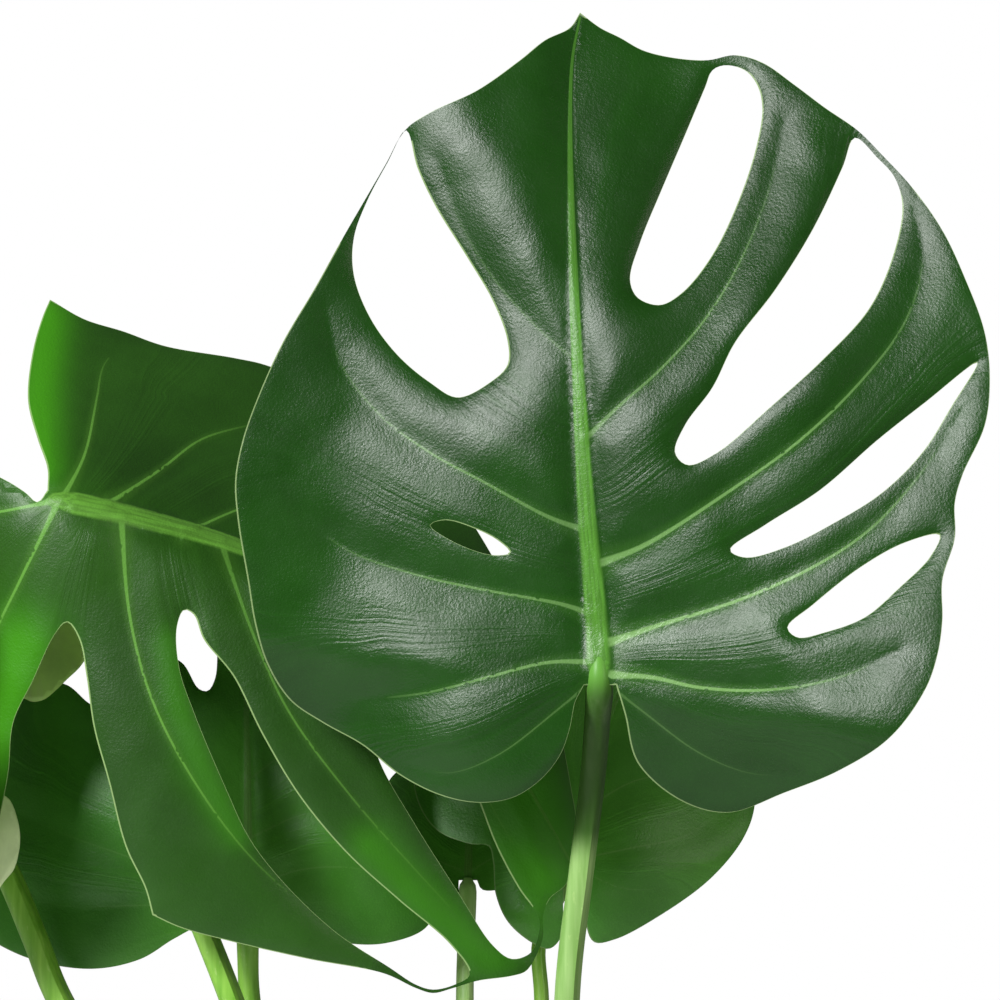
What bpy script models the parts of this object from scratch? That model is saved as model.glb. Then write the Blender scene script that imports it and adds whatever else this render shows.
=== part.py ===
"""Potted monstera: a plain round pot, its soil, two short canes, six leaf stalks and six split leaf blades.

Metres, +Z up. The origin is the centre of the pot's underside, and the blades face -Y.
Run with: blender --background --python part.py
"""

import math

import bmesh
import bpy
import numpy as np
from mathutils import Matrix, Vector
from mathutils.geometry import delaunay_2d_cdt

MM = 0.001
GAP = 0.3 * MM  # clearance between pieces that touch

# Pot
POT_HEIGHT = 195 * MM
POT_TOP_DIAMETER = 214 * MM
POT_BASE_DIAMETER = 168 * MM
POT_WALL = 6 * MM
POT_FLOOR = 9 * MM
POT_RIM_HEIGHT = 22 * MM
POT_RIM_STEP = 3 * MM  # how far the rim band stands out from the wall
POT_SEGMENTS = 64

# Soil
SOIL_DROP = 20 * MM  # from the pot's lip down to the soil
SOIL_CROWN = 5 * MM  # the soil's rise at its middle

# Canes, the two short stems that carry the leaf stalks
CANE_DIAMETER = 34 * MM
CANE_ABOVE_SOIL = 38 * MM
CANE_BELOW_SOIL = 70 * MM
CANE_FEET = {"left": (-38 * MM, 12 * MM), "right": (30 * MM, 4 * MM)}

# Leaf stalks
STALK_BASE_DIAMETER = 12.5 * MM
STALK_SOCKET_DEPTH = 12 * MM  # how deep a stalk stands in its cane
STALK_SIDES = 10
STALK_RINGS = 16

# Leaf blades
BLADE_THICKNESS = 1.3 * MM
BLADE_EDGE_STEP = 9 * MM  # spacing of points along a margin
BLADE_GRID = 24 * MM  # spacing of points inside a blade

SOIL_TOP = POT_HEIGHT - SOIL_DROP

# Blades are drawn as they look from here, in millimetres from the pot's axis and the soil.
VIEWER = (12, -1860, 525)

# A blade is drawn as seen from the front, in millimetres from the point where its stalk joins it:
# u to the right, v up. "edge" is its margin, in runs that meet at corners, and "slots" are the openings
# between its side veins. "length" is the real distance from the stalk to the tip, and scales the drawing.
# "tilt" and "bend" lean and arch it in depth, each "fold" is a soft crease (direction, distance from the
# stalk, slope, softness), and each "bulge" is a round swelling (u, v, radius, depth). Depth grows
# away from the viewer.
BLADES = {
    "front": {
        "joint": (52, -60, 452),
        "length": 266 * MM,
        "turn": 0,
        "edge": [
            [(-6.5, -1), (-10, -8), (-12, -18), (-16, -29), (-24, -39), (-35, -46), (-49, -48), (-64, -45),
             (-80, -37), (-95, -25), (-111, -16), (-124, -7), (-133, 7), (-138, 23), (-141, 41), (-145, 65),
             (-146, 81), (-143, 97), (-137, 114), (-127, 136), (-114, 158), (-104, 176), (-86, 207),
             (-78, 221), (-68, 228), (-49, 237), (-32, 249), (-22, 257), (-12, 262), (-8, 268)],
            [(-8, 268), (0, 262), (8, 258), (17, 253), (29, 250), (43, 249), (54, 251), (65, 248),
             (78, 239), (90, 230), (103, 221), (113, 211), (125, 198), (137, 181), (146, 162), (154, 140),
             (156, 121), (154, 103), (145, 83), (142, 72), (142, 58), (137, 41), (137, 25), (135, 11),
             (130, -3), (116, -22), (96, -35), (74, -44), (51, -52), (32, -47), (15, -32), (10, -13), (6.5, -1)],
            [(6.5, -1), (-6.5, -1)],
        ],
        "slots": [
            [(-77, 216), (-73, 206), (-66, 191), (-53, 170), (-43, 153), (-37, 137), (-37, 127), (-44, 120),
             (-57, 114), (-68, 120), (-81, 131), (-92, 146), (-99, 163), (-98, 177), (-93, 190), (-83, 207)],
            [(45, 244), (50, 246), (58, 244), (63, 238), (65, 230), (63, 216), (56, 194), (45, 171),
             (33, 156), (24, 151), (15, 154), (12, 161), (16, 176), (25, 198), (34, 219), (42, 238)],
            [(102, 217), (111, 209), (118, 201), (120, 191), (118, 173), (108, 150), (89, 129), (68, 110),
             (47, 92), (35, 87), (30, 92), (34, 103), (45, 118), (54, 136), (70, 157), (85, 181), (97, 206)],
            [(150, 128), (141, 111), (129, 92), (113, 76), (94, 64), (74, 54), (58, 50), (52, 53),
             (66, 63), (88, 77), (111, 97), (130, 112)],
            [(136, 59), (132, 50), (120, 38), (106, 26), (90, 20), (79, 18), (75, 22), (85, 31),
             (104, 46), (122, 56)],
            [(-68, 63), (-62, 65), (-51, 62), (-41, 57), (-36, 52), (-43, 51), (-58, 56)],
        ],
        "midrib": [(0, 0), (-2, 33), (-5, 65), (-8, 113), (-11, 173), (-12, 225), (-11, 250), (-8, 266)],
        "tilt": (0.04, 0.1),
        "bend": (0.0002, 0.0006),
        "folds": [((-0.86, -0.5), -69, 0.36, 7), ((0.3, -1), -22, -0.2, 8), ((1, 0.15), 64, -0.3, 10),
                  ((-0.15, -1), 3, 0.6, 6), ((-1, -0.8), 20, -0.15, 12), ((-1, 0.1), 112, -0.3, 12)],
        "bulges": [(-60, 75, 55, -5), (70, 125, 45, -10), (-55, -45, 55, -30)],
    },
    "left": {
        "joint": (-172, 0, 525),
        "length": 260 * MM,
        "turn": 0,
        "edge": [
            [(-3, 4), (-3, 13), (-7, 25), (-11, 41), (-9, 61), (-5, 75), (-2, 82)],
            [(-2, 82), (12, 74), (28, 69), (45, 63), (74, 58), (87, 55), (117, 42), (146, 20), (165, -1),
             (178, -21), (195, -53), (205, -86), (211, -115), (214, -137), (212, -151)],
            [(212, -151), (209, -158), (203, -163), (200, -170), (200, -179), (197, -188), (193, -194),
             (187, -196), (173, -198), (163, -201), (155, -203), (148, -201), (135, -195), (104, -188),
             (73, -181), (51, -175), (40, -170)],
            [(40, -170), (37, -159), (29, -142), (22, -115), (16, -93), (13, -72), (10, -57), (5, -50),
             (0, -55), (-9, -74), (-17, -91), (-19, -111), (-22, -127), (-26, -144), (-31, -157),
             (-39, -160), (-47, -148), (-54, -115), (-57, -72), (-56, -34), (-50, -6), (-40, 9),
             (-30, 12), (-20, 8), (-12, 3), (-7, -1), (-3, 4)],
        ],
        "slots": [
            [(170, -191), (162, -181), (141, -164), (119, -144), (100, -121), (85, -96), (73, -72),
             (61, -57), (57, -47), (53, -45), (50, -52), (51, -69), (57, -87), (70, -118), (80, -139),
             (94, -157), (115, -177), (137, -189), (148, -195), (157, -197), (165, -195)],
            [(195, -171), (190, -160), (181, -142), (174, -124), (164, -98), (150, -78), (139, -68),
             (131, -66), (127, -72), (128, -88), (133, -107), (147, -132), (166, -162), (178, -180),
             (186, -187), (192, -185), (195, -178)],
        ],
        "midrib": [(0, 0), (35, -8), (76, -20), (117, -38), (154, -64), (178, -93), (197, -123), (211, -148)],
        "tilt": (0.0, 0.03),
        "bend": (0.0004, 0.0),
        "folds": [((0.38, 0.92), 4, 1.5, 10), ((-1, -0.1), 12, 0.7, 14)],
        "bulges": [(70, -90, 60, -6), (150, -100, 50, -5), (0, 0, 35, -6)],
    },
    "low_left": {
        "joint": (-95, 50, 352),
        "length": 145 * MM,
        "turn": 0,
        "edge": [
            [(-4, -2), (-11, -10), (-20, -8), (-31, -13), (-46, -22), (-68, -26), (-97, -20), (-118, -6),
             (-129, 16), (-127, 46), (-118, 73), (-99, 93), (-78, 95), (-66, 86), (-58, 86), (-48, 96),
             (-37, 107), (-28, 104), (-21, 93), (-17, 92), (-14, 97), (-13, 107), (-14, 126), (-5, 148)],
            [(-5, 148), (11, 135), (31, 114), (48, 84), (59, 50), (73, 25), (80, 6), (76, -8), (59, -15),
             (41, -15), (22, -10), (9, -8), (4, -2)],
            [(4, -2), (-4, -2)],
        ],
        "slots": [],
        "midrib": [(0, -2), (0, 46), (-1, 93), (-5, 145)],
        "tilt": (0.0, 0.12),
        "bend": (0.0006, 0.0),
        "folds": [((-1, 0.0), 84, 0.6, 14), ((1, 0.0), 50, 0.5, 12)],
        "bulges": [(-50, 30, 35, -6), (35, 30, 30, -5)],
    },
    "back_right": {
        "joint": (43, 65, 368),
        "length": 96 * MM,
        "turn": 0,
        "edge": [
            [(-4, -1), (-4, -16), (-5, -30), (-10, -35), (-18, -32), (-28, -23), (-33, -11), (-34, 2),
             (-36, 9), (-44, 10), (-57, 15), (-64, 23), (-68, 35), (-67, 50), (-60, 64), (-45, 77),
             (-24, 88), (2, 94), (29, 94)],
            [(29, 94), (50, 86), (68, 68), (77, 46), (78, 26), (73, 12), (59, -5), (37, -21), (18, -31),
             (9, -32), (5, -20), (4, -1)],
            [(4, -1), (-4, -1)],
        ],
        "slots": [],
        "midrib": [(0, -1), (6, 29), (14, 59), (28, 92)],
        "tilt": (0.1, 0.5),
        "bend": (0.001, 0.0),
        "folds": [((-1, -0.2), 20, 0.35, 8), ((0.3, -1), 14, 0.8, 8)],
        "bulges": [(30, 25, 26, -5)],
    },
    "back_middle": {
        "joint": (-2, 105, 360),
        "length": 83 * MM,
        "turn": 0,
        "edge": [
            [(-4, -1), (-5, -9), (-13, -10), (-26, -1), (-35, 14), (-38, 32), (-34, 43), (-25, 52),
             (-17, 69), (-3, 82), (14, 84)],
            [(14, 84), (29, 76), (38, 58), (40, 34), (35, 12), (25, 0), (14, -5), (6, -5), (4, -1)],
            [(4, -1), (-4, -1)],
        ],
        "slots": [],
        "midrib": [(0, -1), (1, 25), (4, 52), (13, 82)],
        "tilt": (0.0, 0.5),
        "bend": (0.0016, 0.0),
        "folds": [((-1, 0.0), 22, 0.6, 8)],
        "bulges": [],
    },
}
# The outer leaf grows as the front leaf does, mirrored, smaller and turned away.
BLADES["outer"] = dict(
    BLADES["front"],
    joint=(-252, -24, 452),
    length=205 * MM,
    turn=-118,
    folds=[((-1, 0.0), 112, 0.4, 14), ((1, 0.1), 118, 0.9, 12), ((0.0, 1), 150, 0.4, 30)],
)

# A stalk runs from its cane through these points, in millimetres from the pot's axis and the soil, and
# ends at its blade. "from" is the side of the cane that it leaves, in degrees, "top" its diameter there.
STALKS = {
    "front": {
        "cane": "right", "from": 285, "top": 10.8 * MM,
        "route": [(37, -26, 130), (39, -26, 230), (40, -24, 325), (45.5, -25, 373), (50, -32, 412),
                  (51.5, -44, 436)],
        "end": (52, -57, 450.2),
    },
    "back_right": {
        "cane": "right", "from": 45, "top": 6 * MM,
        "route": [(34, 34, 130), (32, 56, 230), (30, 68, 312), (29, 72, 335), (36, 75, 352)],
        "end": (42.4, 71.6, 364.6),
    },
    "back_middle": {
        "cane": "right", "from": 165, "top": 7.6 * MM,
        "route": [(10, 40, 130), (-1, 74, 230), (-3, 91, 308), (-2.6, 98, 334)],
        "end": (-2, 104.4, 358),
    },
    "left": {
        "cane": "left", "from": 310, "top": 9.6 * MM,
        "route": [(-44, 0, 130), (-70, 12, 230), (-100, 22, 316), (-134, 23, 400), (-155, 23, 458),
                  (-167, 28, 503), (-172, 25, 516)],
        "end": (-173.2, 15.2, 521.4),
    },
    "low_left": {
        "cane": "left", "from": 70, "top": 9 * MM,
        "route": [(-52, 42, 130), (-78, 54, 230), (-94, 54, 312), (-95, 52, 333)],
        "end": (-95, 50, 349.4),
    },
    "outer": {
        "cane": "left", "from": 190, "top": 11 * MM,
        "route": [(-74, 12, 130), (-118, 24, 230), (-173, 36, 314), (-184, 39, 340), (-195, 43, 365),
                  (-209, 49, 390), (-226, 53, 411), (-244, 45, 429), (-256, 20, 443)],
        "end": (-252, -16, 452),
    },
}


def clear_scene():
    for obj in list(bpy.data.objects):
        bpy.data.objects.remove(obj, do_unlink=True)


def material(name, colour, roughness, metallic=0.0):
    mat = bpy.data.materials.new(name)
    mat.use_nodes = True
    shader = mat.node_tree.nodes["Principled BSDF"]
    shader.inputs["Base Color"].default_value = (*colour, 1)
    shader.inputs["Roughness"].default_value = roughness
    shader.inputs["Metallic"].default_value = metallic
    return mat


def add_object(name, mesh, mat=None):
    obj = bpy.data.objects.new(name, mesh)
    bpy.context.scene.collection.objects.link(obj)
    if mat:
        mesh.materials.append(mat)
    return obj


def turned_mesh(name, profile, segments):
    """A closed solid turned about Z from a profile that starts and ends on the axis."""
    bm = bmesh.new()
    rings = []
    for radius, height in profile:
        if radius == 0:
            rings.append([bm.verts.new((0, 0, height))])
        else:
            turns = [2 * math.pi * i / segments for i in range(segments)]
            rings.append([bm.verts.new((radius * math.cos(a), radius * math.sin(a), height)) for a in turns])
    for lower, upper in zip(rings, rings[1:]):
        for i in range(segments):
            j = (i + 1) % segments
            if len(lower) == 1:
                bm.faces.new((lower[0], upper[j], upper[i]))
            elif len(upper) == 1:
                bm.faces.new((lower[i], lower[j], upper[0]))
            else:
                bm.faces.new((lower[i], lower[j], upper[j], upper[i]))
    bmesh.ops.recalc_face_normals(bm, faces=bm.faces)
    mesh = bpy.data.meshes.new(name)
    bm.to_mesh(mesh)
    bm.free()
    mesh.shade_smooth()
    mesh.set_sharp_from_angle(angle=math.radians(35))
    return mesh


def smooth_curve(points, step, closed=False):
    """Points about a step apart along the centripetal Catmull-Rom curve through the given ones."""
    points = [np.array(p, float) for p in points]
    count = len(points)
    if count == 2 and not closed:
        return [points[0], points[1]]
    if closed:
        ring = [points[-1]] + points + points[:2]
    else:
        ring = [2 * points[0] - points[1]] + points + [2 * points[-1] - points[-2]]
    dense = []
    for p0, p1, p2, p3 in zip(ring, ring[1:], ring[2:], ring[3:]):
        t0 = 0.0
        t1 = t0 + math.sqrt(np.linalg.norm(p1 - p0))
        t2 = t1 + math.sqrt(np.linalg.norm(p2 - p1))
        t3 = t2 + math.sqrt(np.linalg.norm(p3 - p2))
        for t in np.linspace(t1, t2, 12, endpoint=False):
            a1 = ((t1 - t) * p0 + (t - t0) * p1) / (t1 - t0)
            a2 = ((t2 - t) * p1 + (t - t1) * p2) / (t2 - t1)
            a3 = ((t3 - t) * p2 + (t - t2) * p3) / (t3 - t2)
            b1 = ((t2 - t) * a1 + (t - t0) * a2) / (t2 - t0)
            b2 = ((t3 - t) * a2 + (t - t1) * a3) / (t3 - t1)
            dense.append(((t2 - t) * b1 + (t - t1) * b2) / (t2 - t1))
    dense.append(points[0] if closed else points[-1])
    dense = np.array(dense)
    run = np.concatenate([[0], np.cumsum(np.linalg.norm(np.diff(dense, axis=0), axis=1))])
    pieces = max(2, round(run[-1] / step))
    at = np.linspace(0, run[-1], pieces + 1)
    if closed:
        at = at[:-1]
    return [np.array([np.interp(s, run, dense[:, k]) for k in range(dense.shape[1])]) for s in at]


def blade_scale(blade):
    """Metres to one unit of the blade's drawing."""
    return blade["length"] / math.hypot(*blade["midrib"][-1])


def margin(blade, step):
    """The blade's outline, as one loop of points in drawing units."""
    loop = []
    for run in blade["edge"]:
        loop += smooth_curve(run, step)[:-1]
    return loop


def lean(blade, u, v):
    """The blade's depth before it is set against its stalk's end, in drawing units."""
    tilt_u, tilt_v = blade["tilt"]
    bend_u, bend_v = blade["bend"]
    w = tilt_u * u + tilt_v * v + bend_u * u * u + bend_v * v * v
    for (du, dv), start, slope, soft in blade["folds"]:
        s = (du * u + dv * v) / math.hypot(du, dv) - start
        w += slope * (math.sqrt(s * s + soft * soft) + s) / 2
    for cu, cv, radius, height in blade["bulges"]:
        w += height * math.exp(-((u - cu) ** 2 + (v - cv) ** 2) / radius**2)
    return w


def depth(blade, u, v):
    """How far the blade lies behind its stalk's end, in drawing units."""
    return lean(blade, u, v) - lean(blade, 0, 0)


def blade_point(blade, u, v):
    """Where a point of the drawing lies: on its line of sight, pushed back by its depth."""
    scale = blade_scale(blade)
    turn = Matrix.Rotation(math.radians(blade["turn"]), 3, "Y")
    flat = Vector(blade["joint"]) * MM + turn @ Vector((u, 0, v)) * scale
    sight = flat - Vector(VIEWER) * MM
    return flat + sight * depth(blade, u, v) * scale / sight.y + Vector((0, 0, SOIL_TOP))


def blade_normal(blade, u, v):
    """The unit vector out of the blade's back."""
    h = 0.5
    along_u = blade_point(blade, u + h, v) - blade_point(blade, u - h, v)
    along_v = blade_point(blade, u, v + h) - blade_point(blade, u, v - h)
    return along_v.cross(along_u).normalized()


def rib_height(blade, u, v):
    """How much the midrib thickens the blade at a point, in metres."""
    ribs = [np.array(p, float) for p in blade["midrib"]]
    best = 0.0
    tip = math.hypot(*ribs[-1])
    for a, b in zip(ribs, ribs[1:]):
        t = np.clip(np.dot((u, v) - a, b - a) / np.dot(b - a, b - a), 0, 1)
        near = a + t * (b - a)
        taper = 1 - math.hypot(*near) / tip
        width = 1 + 5 * taper
        away = math.hypot(u - near[0], v - near[1])
        best = max(best, (0.6 + 5 * taper) * max(0.0, 1 - away / width))
    return best * MM


def blade_mesh(name, blade):
    """A closed solid of a blade, with a thicker rib along its back."""
    scale = blade_scale(blade)
    step = BLADE_EDGE_STEP / scale
    loops = [margin(blade, step)] + [smooth_curve(slot, step, closed=True) for slot in blade["slots"]]
    ribs = smooth_curve(blade["midrib"], 2 * step)
    points = [p for loop in loops for p in loop]
    edges = []
    start = 0
    for loop in loops:
        edges += [(start + i, start + (i + 1) % len(loop)) for i in range(len(loop))]
        start += len(loop)
    outline = np.array(points)
    inner = list(ribs[1:-1])
    for before, here, after in zip(ribs, ribs[1:], ribs[2:]):
        along = (after - before) / np.linalg.norm(after - before)
        across = np.array((-along[1], along[0]))
        inner += [here + 6 * across, here - 6 * across]
    grid = BLADE_GRID / scale
    low = outline.min(axis=0)
    high = outline.max(axis=0)
    for row, v in enumerate(np.arange(low[1] + grid / 2, high[1], grid * 0.87)):
        for u in np.arange(low[0] + (row % 2) * grid / 2, high[0], grid):
            inner.append(np.array((u, v)))
    kept = []
    for p in inner:
        clear_edge = np.min(np.linalg.norm(outline - p, axis=1)) > 0.55 * step
        clear_inner = all(np.linalg.norm(q - p) > 0.45 * step for q in kept)
        if clear_edge and clear_inner:
            kept.append(p)
    points += kept
    flat, _, faces, *_ = delaunay_2d_cdt([Vector(p) for p in points], edges, [], 0, 1e-4)

    def inside(p):
        crossings = 0
        for loop in loops:
            for a, b in zip(loop, loop[1:] + loop[:1]):
                if (a[1] > p[1]) != (b[1] > p[1]):
                    if p[0] < a[0] + (p[1] - a[1]) * (b[0] - a[0]) / (b[1] - a[1]):
                        crossings += 1
        return crossings % 2 == 1

    faces = [f for f in faces if inside(sum((flat[i] for i in f), Vector((0, 0))) / 3)]
    used = sorted({i for f in faces for i in f})
    bm = bmesh.new()
    front = {}
    back = {}
    for i in used:
        u, v = flat[i]
        middle = blade_point(blade, u, v)
        normal = blade_normal(blade, u, v)
        front[i] = bm.verts.new(middle - normal * BLADE_THICKNESS / 2)
        back[i] = bm.verts.new(middle + normal * (BLADE_THICKNESS / 2 + rib_height(blade, u, v)))
    sides = {}
    for f in faces:
        area = (flat[f[1]] - flat[f[0]]).cross(flat[f[2]] - flat[f[0]])
        a, b, c = f if area > 0 else f[::-1]
        bm.faces.new((front[a], front[b], front[c]))
        bm.faces.new((back[a], back[c], back[b]))
        for i, j in ((a, b), (b, c), (c, a)):
            if (j, i) in sides:
                del sides[(j, i)]
            else:
                sides[(i, j)] = True
    for i, j in sides:
        bm.faces.new((front[j], front[i], back[i], back[j]))
    bmesh.ops.triangulate(bm, faces=bm.faces)
    bmesh.ops.recalc_face_normals(bm, faces=bm.faces)
    mesh = bpy.data.meshes.new(name)
    bm.to_mesh(mesh)
    bm.free()
    mesh.shade_smooth()
    mesh.set_sharp_from_angle(angle=math.radians(50))
    return mesh


def tube_mesh(name, path, radii, sides):
    """A closed round tube along a path, with flat ends."""
    path = [Vector(p) for p in path]
    bm = bmesh.new()
    rings = []
    along = (path[1] - path[0]).normalized()
    across = along.orthogonal().normalized()
    for i, centre in enumerate(path):
        ahead = path[min(i + 1, len(path) - 1)] - path[max(i - 1, 0)]
        turn = along.rotation_difference(ahead.normalized())
        along = ahead.normalized()
        across = (turn @ across).normalized()
        other = along.cross(across)
        ring = []
        for k in range(sides):
            a = 2 * math.pi * k / sides
            ring.append(bm.verts.new(centre + radii[i] * (math.cos(a) * across + math.sin(a) * other)))
        rings.append(ring)
    for lower, upper in zip(rings, rings[1:]):
        for k in range(sides):
            j = (k + 1) % sides
            bm.faces.new((lower[k], lower[j], upper[j], upper[k]))
    bm.faces.new(rings[0][::-1])
    bm.faces.new(rings[-1])
    bmesh.ops.recalc_face_normals(bm, faces=bm.faces)
    mesh = bpy.data.meshes.new(name)
    bm.to_mesh(mesh)
    bm.free()
    mesh.shade_smooth()
    mesh.set_sharp_from_angle(angle=math.radians(50))
    return mesh


def cut(obj, cutter_mesh):
    """Takes a cutter's shape out of an object."""
    cutter = add_object(obj.name + "_cutter", cutter_mesh)
    cutter.hide_render = True
    cutter.display_type = "WIRE"
    modifier = obj.modifiers.new("Cut", "BOOLEAN")
    modifier.operation = "DIFFERENCE"
    modifier.solver = "EXACT"
    modifier.object = cutter


def make_pot(mat):
    """A tapered cup with a flat underside and a plain band at its lip."""
    base = POT_BASE_DIAMETER / 2
    top = POT_TOP_DIAMETER / 2
    lean = (top - POT_RIM_STEP - base) / POT_HEIGHT
    band = POT_HEIGHT - POT_RIM_HEIGHT
    chamfer = 2 * MM
    profile = [
        (0, 0),
        (base - chamfer, 0),
        (base, chamfer),
        (base + lean * band, band),
        (top, band + POT_RIM_STEP),
        (top, POT_HEIGHT - chamfer),
        (top - chamfer, POT_HEIGHT),
        (inner_radius(POT_HEIGHT) + chamfer / 2, POT_HEIGHT),
        (inner_radius(POT_HEIGHT - chamfer), POT_HEIGHT - chamfer),
        (inner_radius(POT_FLOOR), POT_FLOOR),
        (0, POT_FLOOR),
    ]
    return add_object("pot", turned_mesh("pot", profile, POT_SEGMENTS), mat)


def inner_radius(height):
    """The pot's inner radius at a height."""
    base = POT_BASE_DIAMETER / 2
    top = POT_TOP_DIAMETER / 2 - POT_RIM_STEP
    return base + (top - base) * height / POT_HEIGHT - POT_WALL


def make_soil(mat):
    """The block of soil, slightly crowned, clear of the pot's wall by the gap."""
    bottom = POT_FLOOR + GAP
    profile = [(0, bottom), (inner_radius(bottom) - GAP, bottom), (inner_radius(SOIL_TOP) - GAP, SOIL_TOP)]
    for share in (0.75, 0.45):
        rise = SOIL_CROWN * math.cos(share * math.pi / 2)
        profile.append((share * inner_radius(SOIL_TOP), SOIL_TOP + rise))
    profile.append((0, SOIL_TOP + SOIL_CROWN))
    return add_object("soil", turned_mesh("soil", profile, 48), mat)


def cane_path():
    """Heights and radii of a cane, from its buried foot to its rounded top, before any clearance."""
    radius = CANE_DIAMETER / 2
    foot = SOIL_TOP - CANE_BELOW_SOIL
    top = SOIL_TOP + CANE_ABOVE_SOIL
    return [
        (foot, 0.55 * radius),
        (foot + 0.35 * radius, 0.9 * radius),
        (SOIL_TOP, radius),
        (top - 0.45 * radius, radius),
        (top - 0.15 * radius, 0.93 * radius),
        (top, 0.8 * radius),
    ]


def cane_mesh(name, side, grow=0.0):
    """A cane's solid, or its clearance when it is grown."""
    x, y = CANE_FEET[side]
    steps = cane_path()
    path = [(x, y, height) for height, _ in steps]
    path[0] = (x, y, path[0][2] - grow)
    radii = [radius + grow for _, radius in steps]
    return tube_mesh(name, path, radii, 20)


def stalk_line(key):
    """A stalk's centre line, from its socket in the cane to its blade."""
    stalk = STALKS[key]
    x, y = CANE_FEET[stalk["cane"]]
    side = math.radians(stalk["from"])
    offset = 1.3 * STALK_BASE_DIAMETER / 2
    foot = Vector((x + offset * math.cos(side), y + offset * math.sin(side), 0))
    foot.z = SOIL_TOP + CANE_ABOVE_SOIL - STALK_SOCKET_DEPTH
    lip = foot + Vector((0, 0, STALK_SOCKET_DEPTH + 6 * MM))
    datum = Vector((0, 0, SOIL_TOP))
    route = [Vector(p) * MM + datum for p in stalk["route"]]
    end = Vector(stalk["end"]) * MM + datum
    points = [foot, lip] + route + [end]
    length = sum((b - a).length for a, b in zip(points, points[1:]))
    return [Vector(p) for p in smooth_curve(points, length / STALK_RINGS)]


def stalk_mesh(name, key, grow=0.0):
    """A stalk's solid, or its clearance when it is grown."""
    line = stalk_line(key)
    if grow:
        line[0] = line[0] - Vector((0, 0, grow))
    base = STALK_BASE_DIAMETER / 2
    top = STALKS[key]["top"] / 2
    last = len(line) - 1
    radii = [base + (top - base) * (i / last) ** 0.8 + grow for i in range(last + 1)]
    return tube_mesh(name, line, radii, STALK_SIDES)


def build():
    clear_scene()
    pot_mat = material("pot_ceramic", (0.78, 0.76, 0.72), 0.45)
    soil_mat = material("soil", (0.045, 0.028, 0.018), 0.95)
    cane_mat = material("cane", (0.16, 0.2, 0.07), 0.6)
    stalk_mat = material("stalk", (0.13, 0.28, 0.06), 0.45)
    blade_mat = material("blade", (0.03, 0.09, 0.02), 0.35)

    make_pot(pot_mat)
    soil = make_soil(soil_mat)
    for side in CANE_FEET:
        cane = add_object(side + "_cane", cane_mesh(side + "_cane", side), cane_mat)
        cut(soil, cane_mesh(side + "_cane_clearance", side, GAP))
        for key, stalk in STALKS.items():
            if stalk["cane"] == side:
                cut(cane, stalk_mesh(key + "_stalk_clearance", key, GAP))
    for key, blade in BLADES.items():
        add_object(key + "_stalk", stalk_mesh(key + "_stalk", key), stalk_mat)
        add_object(key + "_blade", blade_mesh(key + "_blade", blade), blade_mat)


build()
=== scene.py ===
"""The potted monstera as it looks: blades, stalks, canes, soil and pot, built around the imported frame."""

import math
import random

import bmesh
import bpy
import numpy as np
from mathutils import Matrix, Vector, noise
from mathutils.geometry import delaunay_2d_cdt
from mathutils.kdtree import KDTree


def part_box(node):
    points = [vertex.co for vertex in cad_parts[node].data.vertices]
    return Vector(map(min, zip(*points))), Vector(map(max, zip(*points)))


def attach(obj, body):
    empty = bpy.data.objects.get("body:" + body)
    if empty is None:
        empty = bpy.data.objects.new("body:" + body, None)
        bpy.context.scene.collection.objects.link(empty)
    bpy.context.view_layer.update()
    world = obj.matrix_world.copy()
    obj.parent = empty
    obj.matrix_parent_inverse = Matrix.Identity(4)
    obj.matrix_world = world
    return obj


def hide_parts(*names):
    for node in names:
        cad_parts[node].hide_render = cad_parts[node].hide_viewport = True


MM = 0.001
ROOT = "root"

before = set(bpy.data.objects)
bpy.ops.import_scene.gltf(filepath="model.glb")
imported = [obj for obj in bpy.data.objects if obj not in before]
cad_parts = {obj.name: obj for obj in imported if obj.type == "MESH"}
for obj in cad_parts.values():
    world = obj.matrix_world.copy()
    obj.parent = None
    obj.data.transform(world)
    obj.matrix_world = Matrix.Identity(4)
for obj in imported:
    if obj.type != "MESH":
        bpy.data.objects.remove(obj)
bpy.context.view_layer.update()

# The soil's edge is the datum for the plant, and hangs below the pot's lip.
SOIL_DROP = 20 * MM
SOIL_CROWN = 5 * MM
POT_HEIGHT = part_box("pot")[1][2]
SOIL_TOP = POT_HEIGHT - SOIL_DROP

# The blades are drawn as they look from here, in millimetres from the pot's axis and the soil's edge.
VIEWER = Vector((12, -1860, 525))

# Camera
LENS = 162
SENSOR = 36

# Blade meshes, in millimetres
MARGIN_STEP = 1.7
GRID_STEP = 2.5
VEIN_STEP = 2.2
LEAF_THICKNESS = 0.75
# The pale rim: the margin's own narrow edge, plus a painted-light widening on edges facing the key lamp
RIM_WIDTH = 0.16
RIM_PAINTED_LIGHT_WIDENING = 0.75

# How far a blade's midrib stands out, in shares of its half width, and how far its side veins do
RIB_RISE = {"front": 0.42, "back": 0.8}
VEIN_RISE = {"front": 0.4, "back": 0.7}

# A distance beyond any on a blade
FAR = 99.0

# Grit on the soil
CHIP_COUNT = 420
CHIP_SEED = 7

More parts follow.
